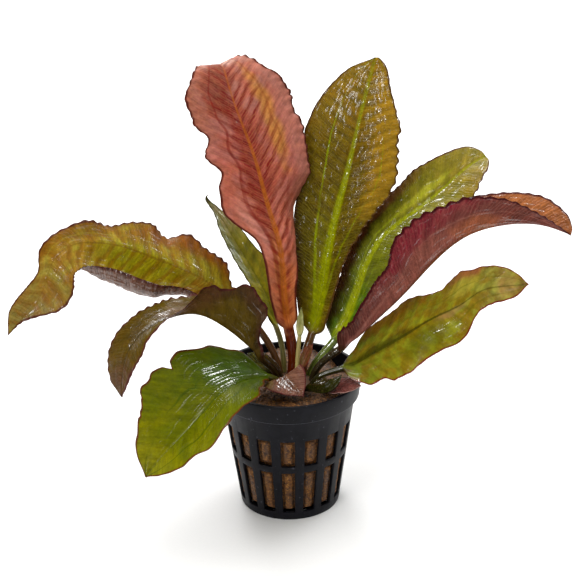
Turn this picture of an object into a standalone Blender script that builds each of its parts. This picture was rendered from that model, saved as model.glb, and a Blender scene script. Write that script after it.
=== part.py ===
"""Potted echinodorus: a ruffled aquarium plant rooted in a wool plug in a slotted net pot.

Every length is in millimetres and becomes metres when a mesh is made. The origin is the centre of
the pot's underside, +Z is up and the plant spreads along X.
"""

import bpy
import numpy as np

MM = 0.001

# Net pot: a tapered cup of thin plastic with a stepped rim and two rows of slots
POT_HEIGHT = 51.5
POT_WALL = 1.2
POT_FLOOR = 1.5
POT_BASE_RADIUS = 18.5
POT_SHOULDER_RADIUS = 24.7
RIM_STEP_HEIGHT = 44.2
RIM_LOWER_RADIUS = 26.2
RIM_UPPER_RADIUS = 27.0
RIM_EDGE_ROUND = 0.5
SLOT_COUNT = 16
SLOT_SHARE = 0.6
FACES_PER_SLOT = 2
SLOT_TURN = -91.5
LOWER_SLOT = (3.2, 21.2)
UPPER_SLOT = (24.1, 35.3)
FLOOR_SLOT = (12.5, 16.0)

# Growing medium: a plug of mineral wool that fills the pot up to its rim
CLEARANCE = 0.3
WOOL_TOP = 49.4
WOOL_BOTTOM = 1.8
WOOL_CHAMFER = 3.0
WOOL_COLUMNS = 28
WOOL_TOP_RINGS = (0, 0.4, 0.75, 1)
WOOL_SWELL = 0.4

# Crown: the short rootstock that all the leaf stalks rise from, as shares of its radius by height
CROWN_CENTRE = (2.2, -4.2)
CROWN_RADIUS = 9.6
CROWN_PROFILE = ((0.7, 42.0), (0.97, 45.0), (1.0, 48.0), (0.96, 49.4), (0.88, 50.0))
CROWN_COLUMNS = 20

# Leaves: thickness of the blade at its foot and its tip, the rib below its midrib, and the shares of
# a stalk's width that its depth takes
BLADE_THICKNESS = 0.55
TIP_THICKNESS = 0.33
RIB_DEPTH = 1.3
STALK_DEPTH = 0.9

# Leaves: lengths over which a blade rounds off at its tip and swells from its stalk. A small leaf
# takes the shorter of the swell and this share of its blade
TIP_LENGTH = 4
SHOULDER_LENGTH = 5
SHOULDER_SHARE = 0.15

# Leaves: the margin's waves rise as this power of the way across to the margin
LIFT_POWER = 2.5

# Leaves: rings of points on a stalk, two more rings just past it, readings along a midrib, the step
# that its direction is taken over, and readings across a half blade
STALK_STATIONS = 4
SWELL_STATIONS = (1, 2.5)
SPINE_READINGS = 600
DIRECTION_STEP = 0.5
SECTION_READINGS = 6

# Each leaf is one dictionary:
#   path      points of its midrib from the crown to the tip
#   heading   direction that the leaf runs in, seen from above, at even steps along it
#   twist     degrees that the blade is rolled about its midrib, at even steps along it
#   stalk     length of the bare stalk, and stem is half its width
#   left      half widths of the blade at even steps, and right is its other half
#   wave      heights of each margin above its section at even steps
#   fold      degrees that each half rises from flat at the midrib, at even steps
#   curl      degrees that each half bends further by its margin, at even steps
#   bend      how close to the margin the curl gathers, where 1 is an even arc
#   mesh      stations along the blade, and strips across it
LEAVES = (
    dict(
        name="leaf_red_upright", colour=(0.36, 0.075, 0.045), mesh=(26, 4),
        path=((1.5, 1, 50.3), (2, 2, 56), (0.5, 4, 68), (-1, 8, 83.5), (-2, 12, 96.5), (-6, 18, 110),
              (-10.5, 25, 126), (-17.5, 34, 144), (-20, 39, 151), (-22, 46, 155), (-24, 54, 153)),
        heading=(105,), twist=(0,), stalk=18, stem=1.6, bend=1.5,
        left=(4, 5, 6, 6.4, 7, 8.3, 13.3, 17.6, 17, 14.3, 18, 14.5, 17.5, 17.5, 13, 9.5, 4),
        right=(4, 4.2, 4.5, 6, 7.5, 10.3, 14, 18, 21, 21, 22, 20.7, 21, 19, 13.5, 8.5, 4), wave_left=(0,),
        wave_right=(0,), fold_left=(10, 10, 10, 10, 10, 10, 10, 5, 0),
        fold_right=(10, 10, 0, 0, 10, 10, 15, 20, 20), curl_left=(0, 0, -20, -10, 0, -10, -20, -10, 0),
        curl_right=(0, 0, -60, -90, -50, -30, -20, 0, 0),
    ),
    dict(
        name="leaf_bronze_upright", colour=(0.2, 0.16, 0.02), mesh=(24, 4),
        path=((5.5, 2.8, 50.3), (6, 3.5, 55), (9, 6.5, 64), (12.5, 11, 77), (16, 18, 93.5),
              (19, 24, 104.5), (23, 30, 117.5), (28, 38, 136), (32, 45, 149), (34.5, 50, 156.5)),
        heading=(60,), twist=(0,), stalk=15, stem=1.4, bend=1.5,
        left=(3, 4.5, 6, 7.7, 9.5, 11.5, 13.5, 15, 16, 17.5, 18.5, 19.3, 18.5, 16.8, 13.8, 9.5, 0),
        right=(5, 5.7, 6.5, 7.4, 8.5, 11, 14, 17.2, 20.5, 22.8, 22.4, 20, 19, 15.3, 10.8, 7.5, 3),
        wave_left=(0,), wave_right=(0,), fold_left=(20, 15, 10), fold_right=(20, 15, 5),
        curl_left=(0, 10, -10), curl_right=(0,),
    ),
    dict(
        name="leaf_green_right", colour=(0.18, 0.26, 0.02), mesh=(24, 4),
        path=((8, 0, 50.3), (9.5, 0, 54), (17.5, 2.6, 63.7), (22, 5.2, 71), (27.5, 8.5, 84.8),
              (34, 11.5, 98.3), (44, 13.6, 106.8), (57.5, 16.6, 116.8), (68, 18.6, 125.3),
              (73, 19.6, 127.8)),
        heading=(25,), twist=(0,), stalk=16.5, stem=1.4, bend=1.5,
        left=(8, 8, 8.7, 9.2, 9.5, 9.6, 10, 10.2, 11.2, 12.5, 14, 15.2, 16, 14.5, 12.6, 10.5, 7),
        right=(6, 8, 9.5, 10.5, 11.5, 12.4, 13.3, 14.3, 15.4, 16.6, 18, 19, 20.5, 19.5, 16.5, 12, 8),
        wave_left=(0,), wave_right=(0,), fold_left=(30, 20, 10), fold_right=(0, 0, 5), curl_left=(0,),
        curl_right=(0,),
    ),
    dict(
        name="leaf_purple_right", colour=(0.13, 0.03, 0.04), mesh=(26, 6),
        path=((8.8, -3.8, 50.3), (10, -4, 54), (17, -5, 62), (25, -6.6, 68.6), (30, -8, 74.2),
              (41, -10.2, 86.8), (52.5, -12.2, 101.3), (64, -13.7, 111.2), (75, -14.2, 114.6),
              (89, -15, 114.5), (99, -16, 111)),
        heading=(-10,), twist=(0,), stalk=17, stem=1.5, bend=1.5,
        left=(5, 6, 10, 12, 14, 15, 14.5, 13, 6), right=(6, 6.5, 10, 12, 17, 15, 13.5, 7, 0),
        wave_left=(0,), wave_right=(0,), fold_left=(65, 60, 50, 40, 30, 30),
        fold_right=(85, 85, 80, 80, 70, 50), curl_left=(0,), curl_right=(0, 0, 0, 0, -20, -40),
    ),
    dict(
        name="leaf_lime_low_right", colour=(0.24, 0.25, 0.02), mesh=(22, 4),
        path=((8.5, -7.5, 50.3), (10, -7.5, 52.5), (19.5, -8, 57), (29.5, -10, 63.5), (41, -13, 72),
              (52.5, -16, 81), (61, -18, 86.5), (69, -20, 93), (75, -21, 94.5), (84, -23, 96)),
        heading=(-15,), twist=(20,), stalk=14, stem=1.5, bend=1.5,
        left=(5, 7, 12, 13.7, 14.5, 15, 16.3, 15.3, 12.5, 11.3, 14.3, 15.6, 12.3, 11, 9.5, 5.8, 0),
        right=(6, 8.5, 12, 11.8, 15, 15, 13.5, 12.5, 12.5, 12.5, 11.5, 8.5, 7, 6.5, 6, 4.5, 0),
        wave_left=(0,), wave_right=(0,), fold_left=(5,), fold_right=(-20,), curl_left=(0,),
        curl_right=(0, 0, 0, -10, -50, -40, 0, 0, 0),
    ),
    dict(
        name="leaf_slender_back", colour=(0.09, 0.15, 0.02), mesh=(14, 4),
        path=((-1.5, 3, 50.3), (-1.5, 4, 54), (-3, 8, 63), (-4.5, 10, 67), (-7.5, 14, 77),
              (-11, 17, 83), (-16, 21, 91), (-21, 25, 98.5), (-27, 29, 106.5), (-29, 29.5, 109.5),
              (-28, 28.5, 111.5)),
        heading=(140,), twist=(0,), stalk=17, stem=1.1, bend=1.5, left=(1.1, 4.5, 6, 6.5, 6.5, 5, 2, 0),
        right=(1.1, 4.5, 6.5, 7.5, 6, 4.5, 2, 0), wave_left=(0,), wave_right=(0,), fold_left=(10,),
        fold_right=(10,), curl_left=(0,), curl_right=(0,),
    ),
    dict(
        name="leaf_olive_left", colour=(0.22, 0.19, 0.02), mesh=(30, 8),
        path=((-3, -0.5, 50.3), (-3.5, 0.5, 54), (-9, 3, 66), (-20, 6, 78.5), (-30, 8, 86),
              (-41.5, 9, 92), (-49.5, 9, 95.5), (-59, 9, 99.5), (-68, 8, 101.5), (-77, 6, 101.5),
              (-83, 3.5, 97.5), (-88.5, -1, 85), (-95.5, -4, 77.5), (-101, -5, 71)),
        heading=(180, 180, 180, 180, 180, 185, 205, 225, 225), twist=(-25,), stalk=30, stem=1.4, bend=1.9,
        left=(5, 9, 12, 14.5, 19.5, 25.5, 27, 26.5, 25.5, 21.5, 17, 14, 13, 11, 4.5, 1, 0),
        right=(8, 6, 14, 14.7, 17, 14.5, 15, 12.5, 9.5, 9.5, 9.5, 9.5, 6, 8.7, 10.5, 8.5, 0),
        wave_left=(0,), wave_right=(0, 0, 0, -0.5, 0.5, -3.5, 0.5, 0.3, -0.6, 2, 0, 0.5, 0, 0, 0, 0, 0),
        fold_left=(-20, -45, -45, -45, -40, -20, 0, 0, 0), fold_right=(0, 0, 0, 0, 0, -5, -20, -30, -30),
        curl_left=(120, 160, 185, 195, 180, 100, 20, 0, 0), curl_right=(0,),
    ),
    dict(
        name="leaf_dark_left", colour=(0.08, 0.06, 0.015), mesh=(24, 6),
        path=((-3.2, -4.3, 50.3), (-4, -5, 54.5), (-9.5, -7, 62), (-17, -10, 71), (-24, -13, 78.5),
              (-32.5, -16, 84), (-42.5, -20, 84), (-52.5, -24, 78.5), (-56, -26, 73.5),
              (-58, -28, 66.5), (-58.5, -29, 57.5)),
        heading=(195, 195, 195, 195, 200, 205, 215, 220, 220), twist=(0,), stalk=13, stem=1.5, bend=1.5,
        left=(3, 3.5, 7.5, 15.3, 17, 18.5, 13, 14.5, 5, 3, 5, 6, 7.8, 6.9, 5.3, 3, 0),
        right=(2, 6, 9, 10.7, 12, 11.6, 11, 10.2, 12, 11.6, 12, 11, 11.5, 11.2, 10, 7.4, 0),
        wave_left=(0,), wave_right=(0,), fold_left=(80, 80, 80, 75, 40, 5, 0, 0, 0),
        fold_right=(50, 50, 30, 5, 0, -5, 0), curl_left=(0,), curl_right=(0,),
    ),
    dict(
        name="leaf_front_left", colour=(0.12, 0.18, 0.015), mesh=(20, 4),
        path=((-2, -8, 50.3), (-3.5, -9, 52.5), (-8, -12.5, 56.5), (-16, -20, 59), (-22, -27, 59.5),
              (-26, -32, 58), (-32, -38, 53.5), (-38.5, -43, 48.5), (-45, -47, 43), (-50, -50, 37.5)),
        heading=(228,), twist=(-25,), stalk=9, stem=1.5, bend=1.5,
        left=(3, 5, 7, 10, 12.5, 15, 16.5, 15.5, 14, 15.2, 16.2, 15.5, 13.5, 12, 10, 5.5, 0),
        right=(6, 10.5, 13.5, 15.5, 17.5, 19.2, 21, 21.3, 22, 22.5, 22.3, 20.5, 17.2, 13.8, 10.9, 6.2, 0),
        wave_left=(0,), wave_right=(0,), fold_left=(35,), fold_right=(10,), curl_left=(0,),
        curl_right=(0,),
    ),
    dict(
        name="leaf_folded_front", colour=(0.2, 0.1, 0.06), mesh=(9, 4),
        path=((3.2, -8.2, 50.3), (1.4, -9, 52.8), (0, -10.6, 55), (-0.4, -12.6, 56.3), (0.9, -15, 56),
              (3, -18, 54.7), (5.6, -21, 52.4)),
        heading=(-55,), twist=(0,), stalk=7.2, stem=1.1, bend=1.5, left=(6.8, 6.6, 5.4, 3, 0),
        right=(9.5, 10, 8, 4.6, 0), wave_left=(0,), wave_right=(0,), fold_left=(40, 35, 20, 5, 0),
        fold_right=(-10, -5, -5, 0), curl_left=(0,), curl_right=(0,),
    ),
    dict(
        name="leaf_cupped_front", colour=(0.07, 0.1, 0.015), mesh=(9, 4),
        path=((5.2, -11.4, 50.3), (6.7, -13.2, 51.7), (9, -15.8, 52.3), (13, -18.4, 52.8),
              (17.2, -18, 54.8), (19.2, -15.5, 58.8)),
        heading=(-20,), twist=(0,), stalk=3, stem=1.0, bend=1.5, left=(2, 5, 6.5, 5, 0),
        right=(2, 4.5, 5.5, 4.5, 0), wave_left=(0,), wave_right=(0,), fold_left=(50,), fold_right=(60,),
        curl_left=(0,), curl_right=(0,),
    ),
    dict(
        name="leaf_small_left", colour=(0.05, 0.09, 0.02), mesh=(7, 4),
        path=((-5.6, -2.6, 50.3), (-7, -3, 53.4), (-10.5, -2.2, 57), (-14.8, 0, 60.5)),
        heading=(160,), twist=(0,), stalk=3.5, stem=1.0, bend=1.5, left=(3, 6, 6.5, 5, 0),
        right=(3, 5, 5, 4, 0), wave_left=(0,), wave_right=(0,), fold_left=(10,), fold_right=(10,),
        curl_left=(0,), curl_right=(0,),
    ),
    dict(
        name="leaf_red_rim", colour=(0.3, 0.07, 0.06), mesh=(9, 4),
        path=((8.9, -10, 50.3), (10.5, -11, 51.7), (14, -12.4, 52), (18, -14.2, 52.5),
              (22, -15.5, 53.4), (26.5, -16, 54.1)),
        heading=(-20,), twist=(0,), stalk=4, stem=0.9, bend=1.5, left=(2, 5, 6, 5, 0),
        right=(2, 4, 5, 4, 0), wave_left=(0,), wave_right=(0,), fold_left=(10,), fold_right=(0,),
        curl_left=(0,), curl_right=(0,),
    ),
    dict(
        name="leaf_young_blade", colour=(0.22, 0.28, 0.08), mesh=(7, 4),
        path=((3.2, -1.2, 50.3), (3.5, 0, 56), (4.5, 3, 65.5), (5.3, 5, 76)),
        heading=(80,), twist=(0,), stalk=15, stem=0.8, bend=1.5, left=(0.8, 1.5, 1.2, 0),
        right=(0.8, 1.5, 1.2, 0), wave_left=(0,), wave_right=(0,), fold_left=(20,), fold_right=(20,),
        curl_left=(0,), curl_right=(0,),
    ),
    dict(
        name="leaf_pink_bud", colour=(0.36, 0.14, 0.1), mesh=(7, 4),
        path=((5.3, -2.6, 50.3), (5.6, -2.5, 54), (7, -1, 59), (9.3, 0.5, 63.5)),
        heading=(40,), twist=(0,), stalk=4, stem=1.0, bend=1.5, left=(1, 2.2, 2.2, 0), right=(1, 3, 3, 0),
        wave_left=(0,), wave_right=(0,), fold_left=(20,), fold_right=(20,), curl_left=(0,),
        curl_right=(0,),
    ),
)


def clear_scene():
    for item in list(bpy.data.objects):
        bpy.data.objects.remove(item, do_unlink=True)


def make_material(name, colour, roughness):
    """A Principled BSDF material, with its colour as linear values."""
    material = bpy.data.materials.new(name)
    material.use_nodes = True
    shader = material.node_tree.nodes["Principled BSDF"]
    shader.inputs["Base Color"].default_value = (*colour, 1)
    shader.inputs["Roughness"].default_value = roughness
    shader.inputs["Metallic"].default_value = 0
    return material


def make_object(name, points, faces, material, sharp=40):
    """One object from points in millimetres, smooth but for the edges steeper than sharp."""
    mesh = bpy.data.meshes.new(name)
    mesh.from_pydata((np.asarray(points, float) * MM).tolist(), [], faces)
    mesh.update()
    mesh.materials.append(material)
    mesh.shade_smooth()
    mesh.set_sharp_from_angle(angle=np.radians(sharp))
    item = bpy.data.objects.new(name, mesh)
    bpy.context.scene.collection.objects.link(item)
    return item


def ring_faces(rings, columns):
    """Quads that join each ring of points to the next, going round once."""
    faces = []
    for ring in range(rings - 1):
        low = ring * columns
        high = low + columns
        for column in range(columns):
            after = (column + 1) % columns
            faces.append((low + column, low + after, high + after, high + column))
    return faces


def wall_radius(height):
    """Outer radius of the tapered wall at a height below the rim's step."""
    rise = height / RIM_STEP_HEIGHT
    return POT_BASE_RADIUS + (POT_SHOULDER_RADIUS - POT_BASE_RADIUS) * rise


def pot_profile():
    """Closed outline of the pot's wall as (radius, height), out from under the floor, up the
    outside, over the rim, down the inside and in over the floor."""
    slots = (*LOWER_SLOT, *UPPER_SLOT)
    inner_step = RIM_STEP_HEIGHT - POT_WALL
    below = [(FLOOR_SLOT[0], 0), (FLOOR_SLOT[1], 0), (POT_BASE_RADIUS, 0)]
    outside = [(wall_radius(height), height) for height in (*slots, RIM_STEP_HEIGHT)]
    rim = [
        (RIM_LOWER_RADIUS, RIM_STEP_HEIGHT),
        (RIM_UPPER_RADIUS, POT_HEIGHT - RIM_EDGE_ROUND),
        (RIM_UPPER_RADIUS - RIM_EDGE_ROUND, POT_HEIGHT),
        (RIM_UPPER_RADIUS - POT_WALL, POT_HEIGHT),
        (RIM_LOWER_RADIUS - POT_WALL, RIM_STEP_HEIGHT + POT_WALL),
        (POT_SHOULDER_RADIUS - POT_WALL, inner_step),
    ]
    inside = [(wall_radius(height) - POT_WALL, height) for height in reversed(slots)]
    floor = [(wall_radius(POT_FLOOR) - POT_WALL, POT_FLOOR)]
    floor += [(radius, POT_FLOOR) for radius in reversed(FLOOR_SLOT)]
    return below, outside, rim, inside, floor


def make_pot():
    """Net pot: the profile turned round the Z axis in steps of half a slot and half a bar, with the
    cells that lie in a slot left out of both skins and walled round between them."""
    parts = pot_profile()
    profile = [point for part in parts for point in part]
    rows = len(profile)
    below, outside, rim, inside = (len(part) for part in parts[:4])
    first_outer = below
    first_inner = below + outside + rim
    # Rows that bound each slot, as (outer low, outer high, inner low, inner high)
    cuts = [
        (0, 1, rows - 1, rows - 2),
        (first_outer, first_outer + 1, first_inner + 3, first_inner + 2),
        (first_outer + 2, first_outer + 3, first_inner + 1, first_inner),
    ]
    columns = SLOT_COUNT * 2 * FACES_PER_SLOT
    # A slot takes its share of each pitch, and the bar beside it the rest, in as many faces
    pitch = 2 * np.pi / SLOT_COUNT
    along = np.arange(FACES_PER_SLOT) / FACES_PER_SLOT
    steps = np.r_[along * SLOT_SHARE, SLOT_SHARE + along * (1 - SLOT_SHARE)]
    first = np.radians(SLOT_TURN) - SLOT_SHARE * pitch / 2
    turn = first + (np.arange(SLOT_COUNT)[:, None] + steps).ravel() * pitch
    points = []
    for radius, height in profile:
        points += [(radius * np.cos(a), radius * np.sin(a), height) for a in turn]
    open_rows = {min(cut[:2]) for cut in cuts} | {min(cut[2:]) for cut in cuts}

    def at(row, column):
        return row * columns + column % columns

    faces = []
    for row in range(rows - 1):
        for column in range(columns):
            in_slot = column % (2 * FACES_PER_SLOT) < FACES_PER_SLOT
            if not (row in open_rows and in_slot):
                faces.append((at(row, column), at(row, column + 1),
                              at(row + 1, column + 1), at(row + 1, column)))
    for outer_low, outer_high, inner_low, inner_high in cuts:
        for slot in range(SLOT_COUNT):
            start = slot * 2 * FACES_PER_SLOT
            end = start + FACES_PER_SLOT
            for column in range(start, end):
                faces.append((at(outer_low, column), at(outer_low, column + 1),
                              at(inner_low, column + 1), at(inner_low, column)))
                faces.append((at(outer_high, column + 1), at(outer_high, column),
                              at(inner_high, column), at(inner_high, column + 1)))
            faces.append((at(outer_high, start), at(outer_low, start),
                          at(inner_low, start), at(inner_high, start)))
            faces.append((at(outer_low, end), at(outer_high, end),
                          at(inner_high, end), at(inner_low, end)))
    # The two discs that close the floor, below and above
    faces.append([at(0, column) for column in reversed(range(columns))])
    faces.append([at(rows - 1, column) for column in range(columns)])
    material = make_material("black_plastic", (0.012, 0.013, 0.016), 0.42)
    return make_object("pot", points, faces, material, sharp=30)


def swell(x, y):
    """Gentle unevenness of the wool's top: three waves, two along the axes and one slanting."""
    waves = np.sin(x / 5.1 + 0.6) + np.sin(y / 4.3 - 0.9) + np.sin((x + y) / 7.7)
    return WOOL_SWELL * waves


def make_growing_medium():
    """Wool plug: rings of points from the bottom up the pot's inside, in over the top to the crown's
    recess, and down into it. Each ring is a circle, and those on the top slide from the pot's axis
    to the crown's."""
    angles = np.arange(WOOL_COLUMNS) * 2 * np.pi / WOOL_COLUMNS
    circle = np.stack([np.cos(angles), np.sin(angles)], 1)
    crown = np.array(CROWN_CENTRE)
    gap = POT_WALL + CLEARANCE
    edge = RIM_LOWER_RADIUS - gap
    step = RIM_STEP_HEIGHT - POT_WALL - CLEARANCE
    sides = [
        (wall_radius(WOOL_BOTTOM) - gap - WOOL_CHAMFER, WOOL_BOTTOM),
        (wall_radius(WOOL_BOTTOM + WOOL_CHAMFER) - gap, WOOL_BOTTOM + WOOL_CHAMFER),
        (wall_radius(step) - gap, step),
        (edge, RIM_STEP_HEIGHT + POT_WALL),
    ]
    rings = [np.c_[circle * radius, np.full(WOOL_COLUMNS, height)] for radius, height in sides]
    recess = CROWN_RADIUS + CLEARANCE
    for share in WOOL_TOP_RINGS:
        flat = circle * edge * (1 - share) + (crown + circle * recess) * share
        rings.append(np.c_[flat, WOOL_TOP + swell(flat[:, 0], flat[:, 1])])
    floor = CROWN_PROFILE[0][1] - CLEARANCE
    rings.append(np.c_[crown + circle * recess, np.full(WOOL_COLUMNS, floor)])
    points = [point for ring in rings for point in ring]
    faces = ring_faces(len(rings), WOOL_COLUMNS)
    faces.append(list(reversed(range(WOOL_COLUMNS))))
    faces.append([len(points) - WOOL_COLUMNS + column for column in range(WOOL_COLUMNS)])
    material = make_material("mineral_wool", (0.24, 0.11, 0.045), 0.95)
    return make_object("growing_medium", points, faces, material)


def make_crown():
    """Rootstock: a blunt plug, turned from its own profile, that sits in the wool's recess."""
    angles = np.arange(CROWN_COLUMNS) * 2 * np.pi / CROWN_COLUMNS
    points = []
    for share, height in CROWN_PROFILE:
        radius = CROWN_RADIUS * share
        for angle in angles:
            points.append((CROWN_CENTRE[0] + radius * np.cos(angle),
                           CROWN_CENTRE[1] + radius * np.sin(angle), height))
    faces = ring_faces(len(CROWN_PROFILE), CROWN_COLUMNS)
    faces.append(list(reversed(range(CROWN_COLUMNS))))
    faces.append([len(points) - CROWN_COLUMNS + column for column in range(CROWN_COLUMNS)])
    material = make_material("rootstock", (0.11, 0.06, 0.03), 0.8)
    return make_object("crown", points, faces, material)


def spline_through(path, places=None):
    """Natural cubic spline through the path's points, set out along its chords. The result is the
    points at places, which are distances along the curve, or the curve's length without them."""
    knots = np.array(path, float)
    chord = np.r_[0, np.cumsum(np.linalg.norm(np.diff(knots, axis=0), axis=1))]
    gaps = np.diff(chord)
    count = len(knots)
    system = np.eye(count)
    target = np.zeros((count, 3))
    for k in range(1, count - 1):
        system[k, k - 1:k + 2] = gaps[k - 1], 2 * (gaps[k - 1] + gaps[k]), gaps[k]
        target[k] = 6 * ((knots[k + 1] - knots[k]) / gaps[k] - (knots[k] - knots[k - 1]) / gaps[k - 1])
    bends = np.linalg.solve(system, target)
    reads = np.linspace(0, chord[-1], SPINE_READINGS)
    k = np.clip(np.searchsorted(chord, reads, side="right") - 1, 0, count - 2)
    left = (chord[k + 1] - reads)[:, None]
    right = (reads - chord[k])[:, None]
    gap = gaps[k][:, None]
    curve = (bends[k] * left**3 + bends[k + 1] * right**3) / (6 * gap)
    curve += (knots[k] / gap - bends[k] * gap / 6) * left
    curve += (knots[k + 1] / gap - bends[k + 1] * gap / 6) * right
    along = np.r_[0, np.cumsum(np.linalg.norm(np.diff(curve, axis=0), axis=1))]
    if places is None:
        return along[-1]
    return np.stack([np.interp(places, along, curve[:, axis]) for axis in range(3)], 1)


def at_even_steps(values, share):
    """Smooth curve through values given at even steps, read at shares from 0 to 1. Its slopes are
    harmonic means, so it never overshoots a value."""
    values = np.array(values, float)
    if len(values) == 1:
        return np.full_like(share, values[0])
    step = np.diff(values)
    slope = np.zeros(len(values))
    rising = step[1:] * step[:-1] > 0
    total = np.where(rising, step[1:] + step[:-1], 1)
    slope[1:-1] = np.where(rising, 2 * step[1:] * step[:-1] / total, 0)
    slope[0] = step[0]
    slope[-1] = step[-1]
    place = np.clip(share, 0, 1) * (len(values) - 1)
    k = np.clip(place.astype(int), 0, len(values) - 2)
    s = place - k
    return (values[k] * (1 + 2 * s) * (1 - s)**2 + slope[k] * s * (1 - s)**2
            + values[k + 1] * s**2 * (3 - 2 * s) + slope[k + 1] * s**2 * (s - 1))


def leaf_frame(leaf, along, length):
    """Midrib points with the blade's left and upper directions at each of them."""
    spine = spline_through(leaf["path"], along)
    ahead = spline_through(leaf["path"], np.minimum(along + DIRECTION_STEP, length))
    behind = spline_through(leaf["path"], np.maximum(along - DIRECTION_STEP, 0))
    tangent = (ahead - behind) / np.linalg.norm(ahead - behind, axis=1)[:, None]
    heading = np.radians(at_even_steps(leaf["heading"], along / length))
    level = np.stack([-np.sin(heading), np.cos(heading), np.zeros_like(heading)], 1)
    left = level - (level * tangent).sum(1)[:, None] * tangent
    left /= np.linalg.norm(left, axis=1)[:, None]
    upper = np.cross(tangent, left)
    twist = np.radians(at_even_steps(leaf["twist"], along / length))[:, None]
    return (spine, left * np.cos(twist) + upper * np.sin(twist),
            upper * np.cos(twist) - left * np.sin(twist))


def swelling(leaf, along, length):
    """Share of the way that the blade has swelled from its stalk, from 0 to 1."""
    blade = length - leaf["stalk"]
    reach = min(SHOULDER_LENGTH, SHOULDER_SHARE * blade)
    return np.clip((along - leaf["stalk"]) / reach, 0, 1)


def half_blade(leaf, side, along, length, across):
    """One half of the blade, across from the midrib (0) to the margin (1). Its section starts at the
    fold angle and turns by the curl: the cosine and sine of its angle are summed with Gauss's rule.
    The margin's waves are then added at right angles to it. The result is the distance out along
    the blade's side, the rise, and the section's angle."""
    blade = np.clip((along - leaf["stalk"]) / (length - leaf["stalk"]), 0, 1)
    tip = np.clip((along - length + TIP_LENGTH) / TIP_LENGTH, 0, 1)
    shoulder = swelling(leaf, along, length)
    width = at_even_steps(leaf[side], blade) * np.sqrt(1 - tip**2) * np.sqrt(1 - (1 - shoulder)**2)
    width = np.maximum(width, leaf["stem"] * (1 - blade))[:, None]
    fold = (np.radians(at_even_steps(leaf["fold_" + side], blade)) * shoulder)[:, None]
    curl = (np.radians(at_even_steps(leaf["curl_" + side], blade)) * shoulder)[:, None]
    nodes, weights = np.polynomial.legendre.leggauss(SECTION_READINGS)
    out = 0
    rise = 0
    for place, share in zip((nodes + 1) / 2, weights / 2):
        angle = fold + curl * (across * place)**leaf["bend"]
        out = out + share * np.cos(angle) * across * width
        rise = rise + share * np.sin(angle) * across * width
    angle = fold + curl * across**leaf["bend"]
    lift = at_even_steps(leaf["wave_" + side], blade)[:, None] * across**LIFT_POWER
    out = out - lift * np.sin(angle)
    rise = rise + lift * np.cos(angle)
    return out, rise, angle


def skin_faces(middle):
    """Triangles of a leaf's upper and lower skins, where a ring holds the upper points and then the
    lower ones. Each cell of the middle surface is split along its shorter diagonal, the same in
    both skins, so that they never cross."""
    rows, edges = middle.shape[:2]
    columns = 2 * (edges - 1)
    faces = []
    for row in range(rows - 1):
        for strip in range(edges - 1):
            cell = [(row, strip), (row + 1, strip), (row + 1, strip + 1), (row, strip + 1)]
            across = np.linalg.norm(middle[cell[0]] - middle[cell[2]])
            if np.linalg.norm(middle[cell[1]] - middle[cell[3]]) < across:
                cell = cell[1:] + cell[:1]
            for triangle in (cell[:3], [cell[0], *cell[2:]]):
                faces.append([r * columns + s for r, s in triangle])
                faces.append([r * columns + (columns - s) % columns for r, s in reversed(triangle)])
    return faces


def make_leaf(leaf):
    """One leaf as a closed solid: rings of points carried along the midrib, round on the stalk and
    flat with sharp margins on the blade, with a rib below the midrib."""
    stations, strips = leaf["mesh"]
    length = spline_through(leaf["path"])
    on_stalk = np.linspace(0, leaf["stalk"], STALK_STATIONS + 1)[:-1]
    on_blade = leaf["stalk"] + (length - leaf["stalk"]) * np.linspace(0, 1, stations)[:-1]
    on_swell = leaf["stalk"] + np.array(SWELL_STATIONS)
    along = np.sort(np.r_[on_stalk, on_blade, on_swell])
    spine, left, upper = leaf_frame(leaf, along, length)
    across = np.linspace(-1, 1, strips + 1)
    surface = np.zeros((len(along), strips + 1, 3))
    normal = np.zeros_like(surface)
    for side, sign in (("left", 1), ("right", -1)):
        mine = across * sign >= 0
        out, rise, angle = half_blade(leaf, side, along, length, np.abs(across[mine])[None, :])
        surface[:, mine] = (spine[:, None] + sign * out[..., None] * left[:, None]
                            + rise[..., None] * upper[:, None])
        normal[:, mine] = (np.cos(angle)[..., None] * upper[:, None]
                           - sign * np.sin(angle)[..., None] * left[:, None])
    normal[:, strips // 2] = upper
    share = swelling(leaf, along, length)[:, None]
    taper = np.clip((length - along) / (length - leaf["stalk"]), 0, 1)[:, None]
    stalk_depth = 2 * STALK_DEPTH * leaf["stem"] * np.sqrt(1 - across**2)
    blade_depth = (TIP_THICKNESS + (BLADE_THICKNESS - TIP_THICKNESS) * taper) * (1 - across**4)
    rib = RIB_DEPTH * taper * (across == 0)
    half = (stalk_depth * (1 - share) + blade_depth * share)[..., None] / 2
    top = surface + normal * half
    bottom = surface - normal * (half + (rib * share)[..., None])
    rings = np.concatenate([top, bottom[:, -2:0:-1]], axis=1)
    # The foot is cut level, where it stands on the crown
    rings[0, :, 2] = leaf["path"][0][2]
    columns = rings.shape[1]
    points = list(rings.reshape(-1, 3)) + [spline_through(leaf["path"], np.array([length]))[0]]
    faces = skin_faces(surface)
    faces.append(list(range(columns)))
    last = (len(along) - 1) * columns
    for column in range(columns):
        faces.append((last + column, len(points) - 1, last + (column + 1) % columns))
    material = make_material(leaf["name"] + "_tissue", leaf["colour"], 0.32)
    return make_object(leaf["name"], points, faces, material, sharp=50)


def build():
    clear_scene()
    make_pot()
    make_growing_medium()
    make_crown()
    for leaf in LEAVES:
        make_leaf(leaf)


build()
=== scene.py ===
from functools import partial

import bpy
import numpy as np
from mathutils import Matrix


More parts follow.
